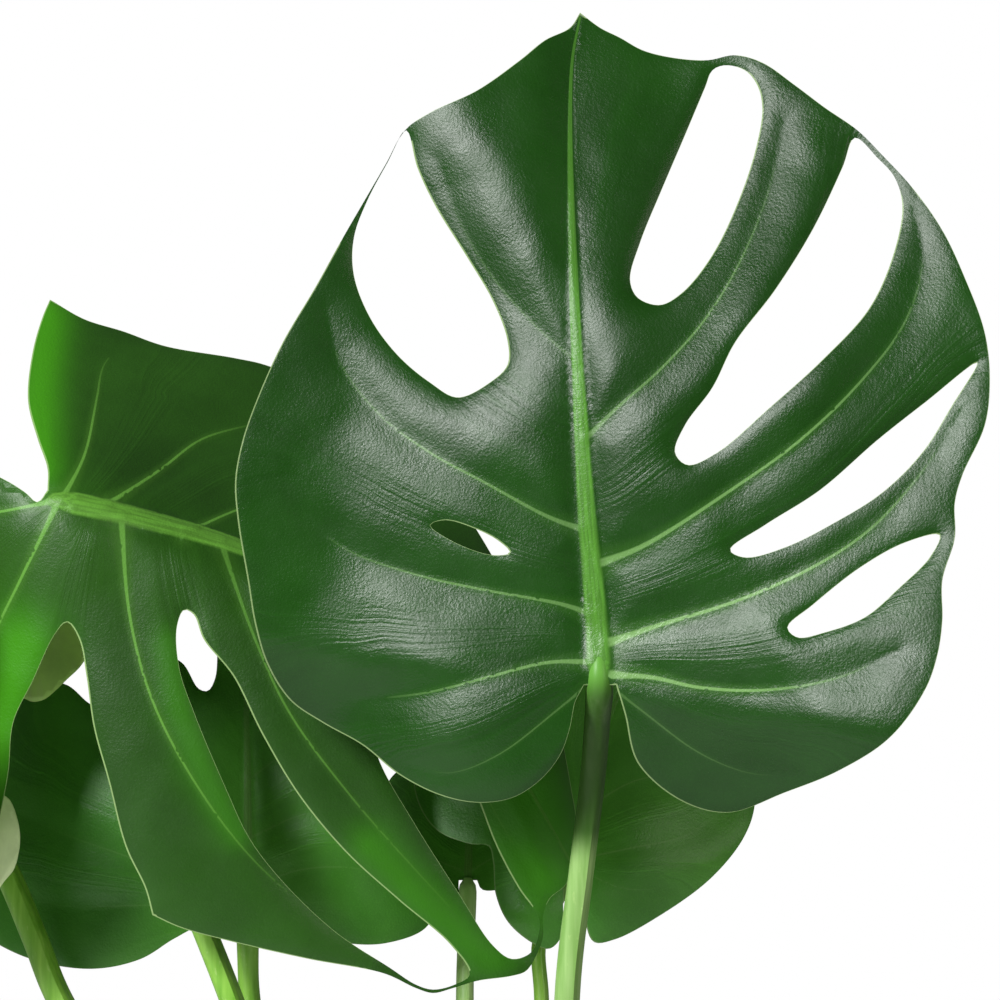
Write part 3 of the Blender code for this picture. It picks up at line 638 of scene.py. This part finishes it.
class Blade:
    """A blade's drawing, and its shape in space."""

    slots = ()
    painted_glow = ()
    bulges = ()
    turn = 0
    valley = 0

    def __init__(self, key):
        for name, value in BLADES[key].items():
            setattr(self, name, value)
        self.scale = self.length / math.hypot(*self.midrib[-1])
        self.ribs = smooth_curve(self.midrib, 4)
        self.lines = [(smooth_curve(line, 4), half, pale) for line, half, pale in self.veins]
        self.turned = Matrix.Rotation(math.radians(self.turn), 3, "Y")

    def rib_half(self, share):
        """The midrib's half width along its length."""
        start = np.clip(share / 0.03, 0, 1)
        return 0.45 + (self.rib - 0.45) * (1 - share) ** 1.25 * (0.55 + 0.45 * start)

    def study(self, places, loops):
        """What the blade's relief and colours need to know of each place."""
        away, share = from_line(places, self.ribs)
        half = self.rib_half(share)
        facts = {"midrib": away / half, "rib": half * self.scale, "from_rib": away}
        nears = [from_line(places, line) for line, _, _ in self.lines]
        alongs = np.array([along for _, along in nears])
        offs = np.array([off for off, _ in nears]) + 6 * np.clip(alongs - 0.88, 0, 1) / 0.12
        sizes = np.array([size for _, size, _ in self.lines])[:, None]
        widths = sizes * (0.45 + 0.5 * (1 - alongs) + 1.3 * np.exp(-alongs * 14))
        pales = np.array([pale for _, _, pale in self.lines])
        first = offs.argmin(axis=0)
        nearest = (first, np.arange(len(places)))
        facts["lateral"] = offs[nearest] / widths[nearest]
        facts["pale"] = pales[first] * (1 - np.clip((alongs[nearest] - 0.45) / 0.5, 0, 1))
        side = side_of(places, self.ribs, share)
        ends = np.array([line[-1] for line, _, _ in self.lines])
        vein_side = side_of(ends, self.ribs, from_line(ends, self.ribs)[1])
        pull = 1 / (offs + 1.5) ** 4 * (side[None, :] == vein_side[:, None]) + 1e-12
        facts["flow"] = (np.arange(len(offs))[:, None] * pull).sum(axis=0) / pull.sum(axis=0)
        facts["nearest"] = np.minimum(offs[nearest], np.maximum(away - 0.6 * half, 0))
        facts["loops"], facts["rim"] = from_margin(places, loops)
        facts["margin"] = facts["loops"].min(axis=0)
        # How strongly each place takes the painted glow, a lighter green standing in for light.
        facts["painted_glow"] = np.zeros(len(places))
        for line, width, amount in self.painted_glow:
            near = amount * np.exp(-((from_line(places, smooth_curve(line, 8))[0] / width) ** 2))
            facts["painted_glow"] = np.maximum(facts["painted_glow"], near)
        return facts

    def lean(self, u, v):
        """The blade's broad shape in depth, in drawing units."""
        w = self.tilt[0] * u + self.tilt[1] * v + self.bend[0] * u * u + self.bend[1] * v * v
        for (du, dv), start, slope, soft in self.folds:
            s = (du * u + dv * v) / math.hypot(du, dv) - start
            w = w + slope * (np.sqrt(s * s + soft * soft) + s) / 2
        for cu, cv, radius, height in self.bulges:
            w = w + height * np.exp(-((u - cu) ** 2 + (v - cv) ** 2) / radius**2)
        return w

    def depth(self, places, facts):
        """How far the blade lies behind its stalk's end, in drawing units."""
        u = places[:, 0]
        v = places[:, 1]
        w = self.lean(u, v) - self.lean(0, 0)
        nearest = facts["nearest"]
        low_down = 1 / (1 + np.exp((v / self.midrib[-1][1] - 0.45) / 0.1)) if self.valley else 0
        w = w - self.valley * low_down * (1 - np.exp(-facts["from_rib"] / 22))
        swell = 0.75 * (1 - np.exp(-((nearest / 10) ** 2))) + 0.25 * (1 - np.exp(-nearest / 2.5))
        w = w - self.quilt * swell
        for (amount, reach), away in zip(self.droop, facts["loops"]):
            w = w + amount * np.exp(-away / reach)
        ripple = np.sin(u / 7.3 + 1.3 * np.sin(v / 11)) * np.sin(v / 8.7 + 0.9 * np.sin(u / 13))
        return w + 0.22 * ripple * np.clip(nearest / 8, 0, 1)

    def points(self, places, depth):
        """Where places of the drawing lie, in metres: each is pushed back along its line of sight."""
        flat = np.zeros((len(places), 3))
        flat[:, 0] = places[:, 0] * self.scale
        flat[:, 2] = places[:, 1] * self.scale
        flat = np.array(self.joint) + flat @ np.array(self.turned).T
        sight = flat - np.array(VIEWER)
        push = depth * self.scale / sight[:, 1]
        return (flat + sight * push[:, None]) * MM + np.array((0, 0, SOIL_TOP))


def back_normals(points, faces):
    """Unit vectors out of the back of a mesh whose faces turn towards its front."""
    a, b, c = (points[faces[:, k]] for k in range(3))
    each = np.cross(b - a, c - a)
    total = np.zeros_like(points)
    for k in range(3):
        np.add.at(total, faces[:, k], each)
    total = total / np.linalg.norm(total, axis=1)[:, None]
    return total * (1 if total[:, 1].mean() > 0 else -1)


def inside(places, loops):
    """Whether each place is within the first loop and outside the others."""
    crossings = np.zeros(len(places), int)
    u = places[:, 0]
    v = places[:, 1]
    for loop in loops:
        for a, b in zip(loop, np.roll(loop, -1, axis=0)):
            spans = (a[1] > v) != (b[1] > v)
            if spans.any():
                at = a[0] + (v - a[1]) * (b[0] - a[0]) / (b[1] - a[1] + 1e-12)
                crossings += spans & (u < at)
    return crossings % 2 == 1


def inner_points(blade, loops):
    """Points across the blade: rows along its midrib and side veins, then an even grid."""
    wanted = []
    ribs = [(blade.ribs, (0, 0.45, 0.8, 1.0, 1.35))]
    for line, halves in ribs + [(line, (0, 0.9, 2.0)) for line, _, _ in blade.lines]:
        fine = smooth_curve(line, VEIN_STEP)
        for i, here in enumerate(fine):
            ahead = fine[min(i + 1, len(fine) - 1)] - fine[max(i - 1, 0)]
            ahead = ahead / np.linalg.norm(ahead)
            side = np.array((-ahead[1], ahead[0]))
            width = blade.rib_half(i / (len(fine) - 1)) if line is blade.ribs else 0.8
            for half in halves:
                wanted.append(here + side * half * width)
                if half:
                    wanted.append(here - side * half * width)
    grid = GRID_STEP / blade.scale
    low = loops[0].min(axis=0)
    high = loops[0].max(axis=0)
    for row, v in enumerate(np.arange(low[1], high[1], grid * 0.87)):
        for u in np.arange(low[0] + (row % 2) * grid / 2, high[0], grid):
            wanted.append(np.array((u, v)))
    wanted = np.array(wanted)
    return wanted[inside(wanted, loops)]


def thinned(points, margin, step):
    """The points that stand clear of the margin and of the points kept before them."""
    tree = KDTree(len(margin))
    for count, p in enumerate(margin):
        tree.insert((p[0], p[1], 0), count)
    tree.balance()
    cell = 0.45 * step
    kept = []
    seen = {}
    for p in points:
        if tree.find((p[0], p[1], 0))[2] <= 0.5 * step:
            continue
        column = int(p[0] // cell)
        row = int(p[1] // cell)
        near = []
        for i in (column - 1, column, column + 1):
            for j in (row - 1, row, row + 1):
                near += seen.get((i, j), [])
        if all((q[0] - p[0]) ** 2 + (q[1] - p[1]) ** 2 >= cell * cell for q in near):
            seen.setdefault((column, row), []).append(p)
            kept.append(p)
    return kept


def flat_mesh(blade):
    """The blade's drawing as points and triangles, with extra points along its veins."""
    step = MARGIN_STEP / blade.scale
    outer = []
    for run in blade.edge:
        outer += smooth_curve(run, step)[:-1]
    loops = [np.array(outer)] + [np.array(smooth_curve(slot, step, closed=True)) for slot in blade.slots]
    margin = np.concatenate(loops)
    points = [Vector(p) for p in (*margin, *thinned(inner_points(blade, loops), margin, step))]
    edges = []
    start = 0
    for loop in loops:
        edges += [(start + i, start + (i + 1) % len(loop)) for i in range(len(loop))]
        start += len(loop)
    flat, _, faces, *_ = delaunay_2d_cdt(points, edges, [], 0, 1e-4)
    flat = np.array([tuple(p) for p in flat])
    faces = np.array([f for f in faces if len(f) == 3])
    faces = faces[inside(flat[faces].mean(axis=1), loops)]
    a, b, c = (flat[faces[:, k]] for k in range(3))
    area = (b[:, 0] - a[:, 0]) * (c[:, 1] - a[:, 1]) - (b[:, 1] - a[:, 1]) * (c[:, 0] - a[:, 0])
    faces[area < 0] = faces[area < 0][:, ::-1]
    used, faces = np.unique(faces, return_inverse=True)
    return flat[used], faces.reshape(-1, 3), loops


def from_margin(places, loops):
    """Distance to each margin, and to the nearest in widths of its pale rim: the margin's own pale edge,
    widened as painted light where it faces left, towards the key lamp.
    """
    each = np.full((len(loops), len(places)), FAR)
    best = np.full(len(places), FAR)
    for number, loop in enumerate(loops):
        after = np.roll(loop, -1, axis=0)
        turn = np.sum(loop[:, 0] * after[:, 1] - loop[:, 1] * after[:, 0])
        for a, b in zip(loop, after):
            length = np.linalg.norm(b - a) + 1e-9
            out = np.array((b[1] - a[1], a[0] - b[0])) / length * (1 if turn > 0 else -1)
            if number:
                out = -out
            # Painted light: the rim widens on edges facing left, as if the key lamp caught them.
            width = RIM_WIDTH + RIM_PAINTED_LIGHT_WIDENING * max(0.0, -0.8 * out[0] - 0.3 * out[1] - 0.15)
            _, away = from_piece(places, a, b, length)
            each[number] = np.minimum(each[number], away)
            best = np.minimum(best, away / width)
    if len(loops) > 1:
        second = np.sort(each, axis=0)[1]
        best = best + 9 * np.clip((4.5 - second) / 1.5, 0, 1)
    return each, best


def put(name, data):
    """A new object in the scene."""
    obj = bpy.data.objects.new(name, data)
    bpy.context.scene.collection.objects.link(obj)
    return obj


def mesh_object(name, points, faces, materials, slots=None):
    """A smooth mesh in the scene. Slots gives each face's material."""
    mesh = bpy.data.meshes.new(name)
    mesh.from_pydata([tuple(p) for p in points], [], [tuple(int(i) for i in f) for f in faces])
    for mat in materials:
        mesh.materials.append(mat)
    if slots is not None:
        mesh.polygons.foreach_set("material_index", np.array(slots, np.int32))
    mesh.shade_smooth()
    mesh.update()
    return put(name, mesh)


def add_attribute(obj, name, values):
    """A value for each point of the mesh, for its material to read."""
    layer = obj.data.attributes.new(name, "FLOAT", "POINT")
    layer.data.foreach_set("value", np.array(values, np.float32))


def keep(obj, node):
    """The piece rides on the plant's one body and stands in for its CAD node, which is hidden."""
    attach(obj, ROOT)
    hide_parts(node)


def shell(faces, count):
    """The faces of a thin sheet: its front, its back (points count further on) and the wall around it."""
    sides = {}
    for face in faces:
        for i, j in ((face[0], face[1]), (face[1], face[2]), (face[2], face[0])):
            if (j, i) in sides:
                del sides[(j, i)]
            else:
                sides[(i, j)] = True
    walls = []
    for i, j in sides:
        walls.append((j, i, i + count))
        walls.append((j, i + count, j + count))
    return np.concatenate([faces, faces[:, ::-1] + count, np.array(walls)])


class Curl:
    """The left leaf's outermost lobe is rolled back on itself, and shows its underside behind the blade."""

    slots = []
    lines = []
    scale = 1
    edge = [[(-162, 470), (-162, 461), (-165, 455), (-171, 449), (-175, 445), (-180, 441), (-185, 440),
             (-189, 441.5), (-194, 439), (-200, 428), (-203, 415), (-201, 405), (-198, 402), (-194, 399),
             (-191, 392), (-189.5, 384), (-190, 377), (-192, 370), (-196, 365), (-199, 361), (-205, 358),
             (-213, 361), (-220, 373), (-222, 399), (-220, 432), (-211, 462), (-190, 477), (-169, 479),
             (-162, 470)]]
    ribs = smooth_curve([(-196, 468), (-205, 430), (-203, 372)], 4)

    def rib_half(self, share):
        return 0.8

    def points(self, places):
        """Its places in space, in metres: a sheet behind the blade that bows away at its sides."""
        x = places[:, 0]
        z = places[:, 1]
        y = 27 + 0.09 * (z - 358) + 0.005 * (x + 196) ** 2
        return np.column_stack([x, y, z]) * MM + np.array((0, 0, SOIL_TOP))


def make_curl(mat):
    """The rolled lobe, a thin closed sheet of its own."""
    curl = Curl()
    places, faces, _ = flat_mesh(curl)
    points = curl.points(places)
    normals = back_normals(points, faces)
    half = LEAF_THICKNESS / 2 * MM
    both = np.concatenate([points - normals * half, points + normals * half])
    obj = mesh_object("left_leaf_curl", both, shell(faces, len(points)), [mat])
    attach(obj, ROOT)


def make_blade(key, upper, under):
    """A closed sheet with raised midrib and veins, and with the places of its veins for its materials."""
    blade = Blade(key)
    places, faces, loops = flat_mesh(blade)
    facts = blade.study(places, loops)
    points = blade.points(places, blade.depth(places, facts))
    normals = back_normals(points, faces)
    ridge = np.sqrt(np.clip(1 - (facts["midrib"] / 1.08) ** 2, 0, 1))
    vein = np.sqrt(np.clip(1 - (facts["lateral"] / 1.5) ** 2, 0, 1)) * (0.3 + 0.7 * facts["pale"])
    thick = LEAF_THICKNESS * (0.4 + 0.6 * np.clip(facts["margin"] / 2, 0, 1)) / 2
    skins = []
    for side, sign in (("front", -1), ("back", 1)):
        rise = thick + RIB_RISE[side] * facts["rib"] * ridge + VEIN_RISE[side] * vein
        skins.append(points + sign * normals * (rise[:, None] * MM))
    whole = shell(faces, len(points))
    slots = [0] * len(faces) + [1] * len(faces) + [0] * (len(whole) - 2 * len(faces))
    obj = mesh_object(key + "_leaf", np.concatenate(skins), whole, [upper, under], slots)
    for name in ("midrib", "rib", "lateral", "pale", "flow", "from_rib", "rim", "painted_glow"):
        add_attribute(obj, name, np.concatenate([facts[name], facts[name]]))
    obj.data.set_sharp_from_angle(angle=math.radians(60))
    return obj


def above_soil(point):
    """A place given in millimetres from the soil's edge, in metres from the pot's underside."""
    return Vector(point) * MM + Vector((0, 0, SOIL_TOP))


def stalk_line(stalk, step):
    """Points along a stalk from its socket in the cane to its blade."""
    x, y = CANE_FEET[stalk["cane"]]
    side = math.radians(stalk["from"])
    offset = 1.3 * STALK_BASE_DIAMETER / 2
    foot = (x + offset * math.cos(side), y + offset * math.sin(side), CANE_ABOVE_SOIL - STALK_SOCKET_DEPTH)
    lip = (foot[0], foot[1], foot[2] + STALK_SOCKET_DEPTH + 6)
    points = [foot, lip] + stalk["route"] + [stalk["end"]]
    return [above_soil(p) for p in smooth_curve(points, step)]


def ring_faces(rows):
    """The faces between rings of points, drawn together where a ring is a single point."""
    faces = []
    for lower, upper in zip(rows, rows[1:]):
        count = max(len(lower), len(upper))
        for i in range(count):
            j = (i + 1) % count
            if len(lower) == 1:
                faces.append((lower[0], upper[j], upper[i]))
            elif len(upper) == 1:
                faces.append((lower[i], lower[j], upper[0]))
            else:
                faces.append((lower[i], lower[j], upper[j], upper[i]))
    return faces


def sweep(name, path, radii, shape, sides, mat, start):
    """A closed solid swept along a path. Shape gives its radius at a turn away from the starting side."""
    points = []
    along = (path[1] - path[0]).normalized()
    across = (start - along * start.dot(along)).normalized()
    for i, centre in enumerate(path):
        ahead = (path[min(i + 1, len(path) - 1)] - path[max(i - 1, 0)]).normalized()
        across = (along.rotation_difference(ahead) @ across).normalized()
        along = ahead
        other = along.cross(across)
        for k in range(sides):
            a = 2 * math.pi * k / sides
            turn = a if a <= math.pi else a - 2 * math.pi
            radius = radii[i] * shape(turn, i / (len(path) - 1))
            points.append(centre + radius * (math.cos(a) * across + math.sin(a) * other))
    rings = [range(i * sides, (i + 1) * sides) for i in range(len(path))]
    rows = [[len(points)]] + rings + [[len(points) + 1]]
    obj = mesh_object(name, points + [path[0], path[-1]], ring_faces(rows), [mat])
    obj.data.set_sharp_from_angle(angle=math.radians(50))
    return obj


def stalk_shape(turn, share):
    """A round stalk, flattened and shallowly grooved between two soft ridges on one side."""
    groove = 0.26 * math.exp(-((turn / 0.62) ** 2))
    ridges = 0.1 * math.exp(-(((abs(turn) - 0.95) / 0.16) ** 2))
    fading = min(1, 5 * (1 - share))
    return 1 + (ridges - groove) * fading


def make_stalk(key, mat):
    """A stalk that narrows upwards, with a slight knee, and sinks into its blade."""
    stalk = STALKS[key]
    path = stalk_line(stalk, 3)
    base = STALK_BASE_DIAMETER / 2 * MM
    top = stalk["top"] / 2 * MM
    last = len(path) - 1
    radii = []
    for i in range(last + 1):
        share = i / last
        knee = 0.06 * math.exp(-(((share - 0.97) / 0.03) ** 2))
        melt = stalk.get("melt", 8) / 3
        tip = math.sqrt(max(0.08, 1 - max(0, (i - last + melt) / (melt + 0.2)) ** 2))
        radii.append((base + (top - base) * share**0.8) * (1 + knee) * tip)
    start = Vector((math.cos(STALK_GROOVE_SIDE), math.sin(STALK_GROOVE_SIDE), 0))
    obj = sweep(key + "_petiole", path, radii, stalk_shape, 40, mat, start)
    keep(obj, key + "_stalk")


def make_cane(side, mat):
    """A short ringed cane with a rounded top."""
    x, y = CANE_FEET[side]
    radius = CANE_DIAMETER / 2
    low = -CANE_BELOW_SOIL
    high = CANE_ABOVE_SOIL
    path = []
    radii = []
    steps = 54
    for i in range(steps + 1):
        height = low + (high - low) * i / steps
        share = (height - low) / (high - low)
        foot = 0.55 + 0.45 * min(1, share / 0.35) ** 0.6
        crown = math.sqrt(max(0.36, 1 - max(0, (height - high + 7) / 8) ** 2))
        ring = 0.03 * math.exp(-(((height % CANE_RING_SPACING) - CANE_RING_SPACING / 2) / 1.6) ** 2)
        path.append(above_soil((x, y, height)))
        radii.append(radius * MM * (foot * crown + ring - 0.03))

    def shape(turn, share):
        bark = noise.noise(Vector((3 * math.cos(turn), 3 * math.sin(turn), 9 * share + x)))
        return 1 + 0.03 * bark

    obj = sweep(side + "_cane_bark", path, radii, shape, 48, mat, Vector((1, 0, 0)))
    keep(obj, side + "_cane")


def turned(name, profile, segments, mat, relief=None):
    """A closed solid turned about Z from a profile that starts and ends on the axis, with relief on top."""
    points = []
    rows = []
    for radius, height, *rough in profile:
        rows.append([len(points) + i for i in range(segments if radius else 1)])
        for i in range(len(rows[-1])):
            a = 2 * math.pi * i / segments
            x = radius * math.cos(a)
            y = radius * math.sin(a)
            points.append((x, y, height + (relief(x, y) if rough else 0)))
    obj = mesh_object(name, points, ring_faces(rows), [mat])
    if not relief:
        obj.data.set_sharp_from_angle(angle=math.radians(40))
    return obj


def make_pot(mat):
    """The plain tapered pot, with soft edges at its foot and lip."""
    top, _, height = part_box("pot")[1]
    base = 84 * MM
    wall = 6 * MM
    floor = 9 * MM
    band = height - 22 * MM
    step = 3 * MM
    foot_round = 3 * MM
    round_in = 2.8 * MM
    lean = (top - step - base) / height

    def outer(z):
        return base + lean * z

    profile = [(0, 0), (base - foot_round, 0)]
    for i in range(1, 6):
        a = math.pi / 2 * i / 5
        profile.append((base - foot_round + foot_round * math.sin(a), foot_round - foot_round * math.cos(a)))
    for i in range(1, 13):
        z = foot_round + (band - 5 * MM) * i / 12
        profile.append((outer(z), z))
    for i in range(1, 7):
        t = i / 6
        rise = t * t * (3 - 2 * t)
        profile.append((outer(band) + (top - outer(band)) * rise, band - 2 * MM + 5 * MM * t))
    profile.append((top, height - 5 * MM))
    middle = top - round_in
    for i in range(0, 9):
        a = math.pi * i / 8
        profile.append((middle + round_in * math.cos(a), height - round_in + round_in * math.sin(a)))
    for i in range(0, 9):
        z = (height - 8 * MM) + (floor + 4 * MM - height + 8 * MM) * i / 8
        profile.append((outer(z) - wall, z))
    profile += [(outer(floor) - wall - 3 * MM, floor), (0, floor)]
    keep(turned("pot_body", profile, 160, mat), "pot")


def soil_height(share):
    """The crowned soil's height at a share of its radius, in metres above the pot's underside."""
    return SOIL_TOP + (SOIL_CROWN - 1 * MM) * math.cos(share * math.pi / 2)


def make_soil(mat):
    """Crumbly potting mix, level with the CAD block."""
    low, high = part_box("soil")
    top_radius = high[0]
    bottom_radius = 78 * MM
    rings = 46
    profile = [(0, low[2]), (bottom_radius, low[2]), (top_radius, SOIL_TOP - 3 * MM)]
    for ring in range(rings):
        share = 1 - ring / rings
        profile.append((top_radius * share, soil_height(share) - 1.5 * MM, "rough"))
    profile.append((0, SOIL_TOP + SOIL_CROWN - 1 * MM))

    def crumbs(x, y):
        return 1.6 * MM * noise.fractal(Vector((x, y, 0)) * 110, 0.7, 2.1, 4)

    keep(turned("soil_mix", profile, 150, mat, crumbs), "soil")


def make_chips(mat):
    """Bark chips and clods scattered on the soil, clear of the canes."""
    top_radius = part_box("soil")[1][0]
    scatter = random.Random(CHIP_SEED)
    bm = bmesh.new()
    for _ in range(CHIP_COUNT):
        a = scatter.uniform(0, 2 * math.pi)
        r = math.sqrt(scatter.uniform(0.0, 1)) * (top_radius - 5 * MM)
        x = r * math.cos(a)
        y = r * math.sin(a)
        size = scatter.uniform(0.9, 3.4) * MM
        if any(math.hypot(x - fx * MM, y - fy * MM) <= (CANE_DIAMETER / 2 + 3) * MM
               for fx, fy in CANE_FEET.values()):
            continue
        stretch = (scatter.uniform(0.7, 2.2), scatter.uniform(0.6, 1.2), scatter.uniform(0.4, 0.8))
        lie = Matrix.Translation((x, y, soil_height(r / top_radius) - 1.2 * MM))
        lie = lie @ Matrix.Rotation(scatter.uniform(0, 6.28), 4, "Z")
        lie = lie @ Matrix.Rotation(scatter.uniform(-0.4, 0.4), 4, "X")
        lie = lie @ Matrix.Diagonal((*stretch, 1))
        made = bmesh.ops.create_icosphere(bm, subdivisions=1, radius=size, matrix=lie)
        for v in made["verts"]:
            push = [scatter.uniform(-1, 1) for _ in range(3)]
            v.co += Vector(push) * size * 0.16
    mesh = bpy.data.meshes.new("soil_chips")
    bm.to_mesh(mesh)
    bm.free()
    mesh.materials.append(mat)
    chips = put("soil_chips", mesh)
    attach(chips, ROOT)


# ---------------------------------------------------------------- camera, light and floor


def make_camera():
    """A level long lens, far enough away to see the upper half of the plant."""
    data = bpy.data.cameras.new("camera")
    data.lens = LENS
    data.sensor_width = SENSOR
    data.clip_end = 50
    obj = put("camera", data)
    obj.location = above_soil(VIEWER)
    obj.rotation_euler = (math.radians(90), 0, 0)
    bpy.context.scene.camera = obj


def add_light(name, place, target, width, height, colour, power):
    """A rectangular lamp turned to its target."""
    data = bpy.data.lights.new(name, "AREA")
    data.shape = "RECTANGLE"
    data.size = width
    data.size_y = height
    data.energy = power
    data.color = colour
    obj = put(name, data)
    obj.location = place
    obj.rotation_euler = (Vector(target) - Vector(place)).to_track_quat("-Z", "Y").to_euler()


def make_studio():
    """White surroundings that light the plant only a little, two lamps and a floor."""
    scene = bpy.context.scene
    scene.view_settings.view_transform = "Standard"
    world = bpy.data.worlds.new("studio")
    scene.world = world
    world.use_nodes = True
    tree = world.node_tree
    background = tree.nodes["Background"]
    seen = tree.nodes.new("ShaderNodeLightPath")
    strength = tree.nodes.new("ShaderNodeMapRange")
    strength.inputs["To Min"].default_value = 0.1
    strength.inputs["To Max"].default_value = 1.0
    tree.links.new(seen.outputs["Is Camera Ray"], strength.inputs["Value"])
    tree.links.new(strength.outputs["Result"], background.inputs["Strength"])
    background.inputs["Color"].default_value = (1, 1, 1, 1)
    add_light("key", (-1.45, -1.55, 1.8), (0, 0, 0.65), 0.8, 0.8, (1, 1, 1), 90)
    add_light("right", (1.4, -1.4, 1.25), (0.05, 0, 0.65), 0.6, 1.0, (1, 0.94, 0.84), 9)
    floor = mesh_object("floor", [(-1.6, -1.4, 0), (1.6, -1.4, 0), (1.6, 1.6, 0), (-1.6, 1.6, 0)],
                        [(0, 1, 2, 3)], [floor_material()])


def floor_material():
    n = Nodes("pale_floor")
    n.join(n.mix(n.noise(6, 3), (0.78, 0.78, 0.77), (0.82, 0.82, 0.81)), n.shader.inputs["Base Color"])
    n.shader.inputs["Roughness"].default_value = 0.7
    return n.mat


make_camera()
make_studio()

UPPER = {
    "deep": leaf_material("leaf_deep", srgb(18, 55, 8), srgb(24, 66, 12), srgb(60, 130, 24),
                          srgb(80, 136, 46), srgb(108, 150, 84), srgb(150, 176, 118), 0.3, 0.28),
    "bright": leaf_material("leaf_bright", srgb(28, 65, 11), srgb(38, 80, 18), srgb(56, 130, 14),
                            srgb(88, 142, 48), srgb(92, 146, 56), srgb(160, 190, 124), 0.38, 0.28),
    # Painted light: the leaves in shade behind get far lighter greens than the others, standing in for light
    # that doesn't reach them.
    "shade": leaf_material("leaf_shade_painted_lighter", srgb(54, 120, 26), srgb(76, 142, 42), srgb(60, 130, 24),
                           srgb(92, 142, 60), srgb(96, 144, 70), srgb(120, 150, 92), 0.4, 0.4),
}
under = underside_material("leaf_underside", srgb(128, 168, 84), srgb(150, 184, 104))
for key in BLADES:
    leaf = make_blade(key, UPPER[BLADES[key]["material"]], under)
    keep(leaf, key + "_blade")
SKINS = {
    "green": stalk_material("stalk_green", srgb(98, 156, 40), srgb(136, 188, 72)),
    "pale": stalk_material("stalk_pale", srgb(142, 190, 98), srgb(178, 216, 136)),
    # The front stalk's third colour is a painted shadow, deep green below its blade.
    "front": stalk_material("stalk_front", srgb(120, 162, 84), srgb(156, 192, 120), srgb(28, 72, 3)),
}
for key in STALKS:
    make_stalk(key, SKINS[STALKS[key].get("skin", "green")])
make_curl(curl_material())
bark = cane_material()
for side in CANE_FEET:
    make_cane(side, bark)
make_pot(pot_material())
make_soil(soil_material())
make_chips(cane_material())
